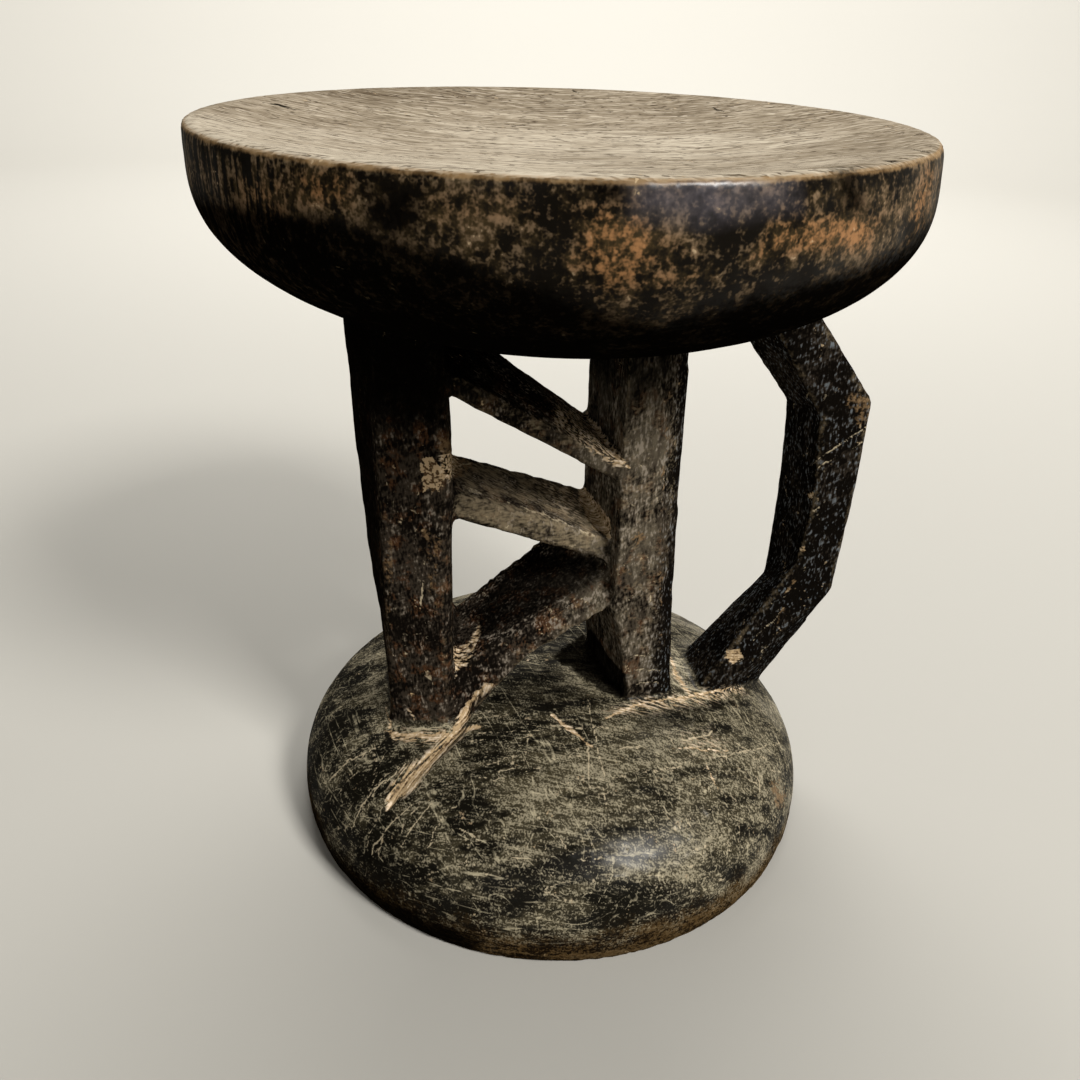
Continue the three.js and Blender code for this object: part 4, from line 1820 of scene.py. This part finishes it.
@dataclass
class CarvedStool:
    """The whole stool as one surface, grown from the frame's solid.

    The border of each mark is shaken by up to `ragged` pixels. A point is seen when
    nothing stands in the way of a place `lift` above it.
    """

    view: PhotoView
    seat: Seat = Seat()
    base: Base = Base()
    panel: Panel = Panel()
    bracket: Bracket = Bracket()
    tools: ToolMarks = ToolMarks()
    finish: AgedWood = AgedWood()
    foot: Foot = Foot()
    tooling: Tooling = Tooling()
    borders: Borders = Borders()
    merge: float = 1e-5
    grain: float = 0.0015
    level: float = 0.999
    soft_edge: float = 0.15
    crisp_edge: float = 0.5
    edge_rounds: int = 7
    round_weight: float = 0.8
    round_rounds: int = 14
    wear_weight: float = 0.5
    wear_rounds: int = 4
    points_kept: int = 69500
    plain_weight: float = 1.0
    rest_weight: float = 0.45
    plain_edge: float = 0.25
    top_share: float = 0.9
    top_inset: float = 5
    ragged: float = 1.6
    ragged_sizes: tuple[float, float] = (4 * MM, 1.6 * MM)
    ragged_seeds: tuple[int, int] = (5, 7)
    lift: float = 0.0015
    clearance: float = 2 * MM
    blocker: BVHTree | None = field(default=None, init=False)

    def build(self) -> bpy.types.Object:
        """Make the wood and put it on the frame.

        Returns:
            The dressed piece.
        """
        wood = self._merged_copy()
        self._remesh(wood)
        self._thin_faces(wood)
        self._refine_marks(wood.data)
        self._store_zones(wood.data)
        self.tools.grow(wood, self.finish.material())
        self._cut_marks(wood.data)
        wood.data.shade_smooth()
        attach(wood, BODY)
        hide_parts(SOLID)
        triangles = sum(len(face.vertices) - 2 for face in wood.data.polygons)
        log.info("%s: %d points, %d triangles", wood.name, len(wood.data.vertices), triangles)
        return wood

    def _merged_copy(self) -> bpy.types.Object:
        """Copy the frame's solid with its loose triangles joined."""
        solid = bpy.data.objects[SOLID]
        mesh = bpy.data.meshes.new(PIECE)
        shape = bmesh.new()
        shape.from_mesh(solid.data)
        bmesh.ops.remove_doubles(shape, verts=shape.verts[:], dist=self.merge)
        shape.to_mesh(mesh)
        shape.free()
        wood = bpy.data.objects.new(PIECE, mesh)
        bpy.context.scene.collection.objects.link(wood)
        self.blocker = BVHTree.FromPolygons(
            [vertex.co for vertex in mesh.vertices], [face.vertices[:] for face in mesh.polygons]
        )
        return wood

    def _remesh(self, wood: bpy.types.Object) -> None:
        """Cover the solid with even faces, round off its facets and note its edges."""
        modifier = wood.modifiers.new("even faces", "REMESH")
        modifier.mode = "VOXEL"
        modifier.voxel_size = self.grain
        mesh = evaluated(wood)
        points = read_points(mesh)
        normals = read_normals(mesh)
        bent = (np.abs(normals[:, 2]) <= self.level) & (points[:, 2] > self.foot.rounded)
        softened = relaxed(mesh, points, np.ones(len(points)), self.edge_rounds)
        pull = ((points - softened) * normals).sum(1)
        write_trace(mesh, Trace.EDGE, pull / self.grain)
        smooth = smooth_step(np.abs(pull) / self.grain, self.crisp_edge, self.soft_edge)
        turned = np.maximum(self.seat.share(points), self.base.share(points)) * smooth * bent
        points = relaxed(mesh, points, turned * self.round_weight, self.round_rounds)
        points = relaxed(mesh, points, self.wear_weight * (points[:, 2] > self.foot.worn), self.wear_rounds)
        write_points(mesh, points)
        log.info("even faces: %d points", len(points))

    def _thin_faces(self, wood: bpy.types.Object) -> None:
        """Use fewer faces, above all where the wood is plain, but keep them under the marks."""
        mesh = wood.data
        points = read_points(mesh)
        weight = np.full(len(points), self.rest_weight)
        edge = np.abs(read_trace(mesh, Trace.EDGE))
        top = (self.seat.share(points) > self.top_share) & (self.seat.rim_reach(points) > self.top_inset)
        plain = top | (points[:, 2] < self.foot.full_faces)
        weight[plain & (edge < self.plain_edge)] = self.plain_weight
        weight[self._near_marks(mesh)] = 0.0
        group = wood.vertex_groups.new(name="thinning")
        for share in np.unique(weight):
            group.add(np.nonzero(weight == share)[0].tolist(), float(share), "REPLACE")
        modifier = wood.modifiers.new("fewer faces", "DECIMATE")
        modifier.vertex_group = group.name
        modifier.ratio = self.points_kept / len(points)
        evaluated(wood)
        wood.vertex_groups.clear()
        log.info("fewer faces: %d points", len(wood.data.vertices))

    def _seen(self, mesh: bpy.types.Mesh) -> tuple[np.ndarray, np.ndarray]:
        """Find where the points are in the picture, and which of them it shows."""
        points = read_points(mesh)
        normals = read_normals(mesh)
        eye = np.array(self.view.place)
        away = points + normals * self.lift - eye
        distance = np.linalg.norm(away, axis=1)
        facing = (away * normals).sum(1) < 0
        seen = facing.copy()
        start = Vector(eye)
        for index in np.nonzero(facing)[0]:
            hit = self.blocker.ray_cast(start, Vector(away[index]), distance[index] - self.clearance)
            seen[index] = hit[0] is None
        coarse, fine = self.ragged_sizes
        shake = [
            lattice_noise(points, coarse, seed) + 0.5 * lattice_noise(points, fine, seed + 1)
            for seed in self.ragged_seeds
        ]
        return self.view.pixels(points) + self.ragged * np.stack(shake, axis=1), seen

    def _zones(self, points: np.ndarray) -> list[tuple[np.ndarray, list[Mark]]]:
        """Pair the marks of each part of the stool with the points that they may touch."""
        seat = self.seat.share(points)
        base = self.base.share(points)
        bracket = self.bracket.share(points)
        at = self.borders
        between = (seat < at.off_seat) & (base < at.off_base)
        return [
            (seat > at.on_seat, self.seat.marks()),
            ((base > at.on_base) | (points[:, 2] < at.base_height), self.base.marks()),
            (between & (bracket < at.off_bracket), self.panel.marks()),
            (between & (bracket > at.on_bracket), self.bracket.marks()),
        ]

    def _reached(
        self, points: np.ndarray, pixels: np.ndarray, seen: np.ndarray
    ) -> Iterator[tuple[Mark, np.ndarray]]:
        """Go through the marks, each with the points that it may touch.

        Args:
            points: Places in the row frame.
            pixels: Where they are in the picture.
            seen: Which of them it shows.

        Returns:
            Each mark that touches any point, and those points' numbers.
        """
        for allowed, marks in self._zones(points):
            for mark in marks:
                low, high = mark.reach()
                inside = np.nonzero(seen & allowed & (pixels > low).all(1) & (pixels < high).all(1))[0]
                if len(inside):
                    yield mark, inside

    def _near_marks(self, mesh: bpy.types.Mesh) -> np.ndarray:
        """Find the points under the cut marks.

        Args:
            mesh: The wood.

        Returns:
            True for the points that need fine faces round them.
        """
        pixels, seen = self._seen(mesh)
        near = np.zeros(len(pixels), bool)
        for mark, inside in self._reached(read_points(mesh), pixels, seen):
            if mark.depth and mark.trace not in SOFT_TRACES:
                near[inside] |= mark.near(pixels[inside])
        return near

    def _refine_marks(self, mesh: bpy.types.Mesh) -> None:
        """Split the faces under the marks, so that the marks are crisp."""
        near = self._near_marks(mesh)
        shape = bmesh.new()
        shape.from_mesh(mesh)
        shape.verts.ensure_lookup_table()
        edges = [edge for edge in shape.edges if near[edge.verts[0].index] and near[edge.verts[1].index]]
        bmesh.ops.subdivide_edges(shape, edges=edges, cuts=1, use_grid_fill=True)
        bmesh.ops.triangulate(shape, faces=[face for face in shape.faces if len(face.verts) > 4])
        shape.to_mesh(mesh)
        shape.free()
        log.info("finer faces under the marks: %d points", len(mesh.vertices))

    def _store_zones(self, mesh: bpy.types.Mesh) -> None:
        """Store which part of the stool each point is on, and how it was tooled."""
        points = read_points(mesh)
        normals = read_normals(mesh)
        seat = self.seat.share(points)
        base = self.base.share(points)
        rim = self.seat.rim_reach(points)
        top = seat * (rim > 0)
        write_trace(mesh, Trace.SEAT, seat)
        write_trace(mesh, Trace.BASE, base * (1 - seat))
        write_trace(mesh, Trace.RIM, rim)
        tooling = self.tooling
        hewn = np.where(seat > 0.5, tooling.seat_side, np.where(base > 0.5, tooling.base, tooling.posts))
        hewn = np.where(top > 0.5, tooling.seat_top, hewn) * (points[:, 2] > self.foot.hewn)
        hewn *= 1 - smooth_step(-normals[:, 2] * (points[:, 2] < self.foot.turned_under), *tooling.under)
        write_trace(mesh, Trace.HEWN, hewn)
        space = self.panel.tool_space(points)
        space = np.where(base[:, None] > 0.5, self.base.tool_space(points), space)
        space = np.where(seat[:, None] > 0.5, self.seat.tool_space(points), space)
        write_trace(mesh, Trace.TOOL, space)

    def _cut_marks(self, mesh: bpy.types.Mesh) -> None:
        """Cut the marks into the wood and store them for the finish."""
        points = read_points(mesh)
        normals = read_normals(mesh)
        pixels, seen = self._seen(mesh)
        stored = {trace: np.zeros(len(points)) for trace in SURFACE_TRACES}
        depth = np.zeros(len(points))
        for mark, inside in self._reached(points, pixels, seen):
            share = mark.share(pixels[inside])
            layer = stored[mark.trace]
            layer[inside] = np.maximum(layer[inside], share * mark.strength)
            depth[inside] = np.maximum(depth[inside], share * mark.depth)
        for trace, values in stored.items():
            write_trace(mesh, trace, values)
        write_points(mesh, points - normals * depth[:, None] * MM)


def main() -> None:
    """Build the stool on its frame, the studio round it and the camera in front of it."""
    logging.basicConfig(level=logging.INFO, format="%(name)s: %(message)s")
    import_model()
    view = PhotoView()
    view.set_camera()
    Studio().build()
    CarvedStool(view).build()


if __name__ == "__main__":
    main()
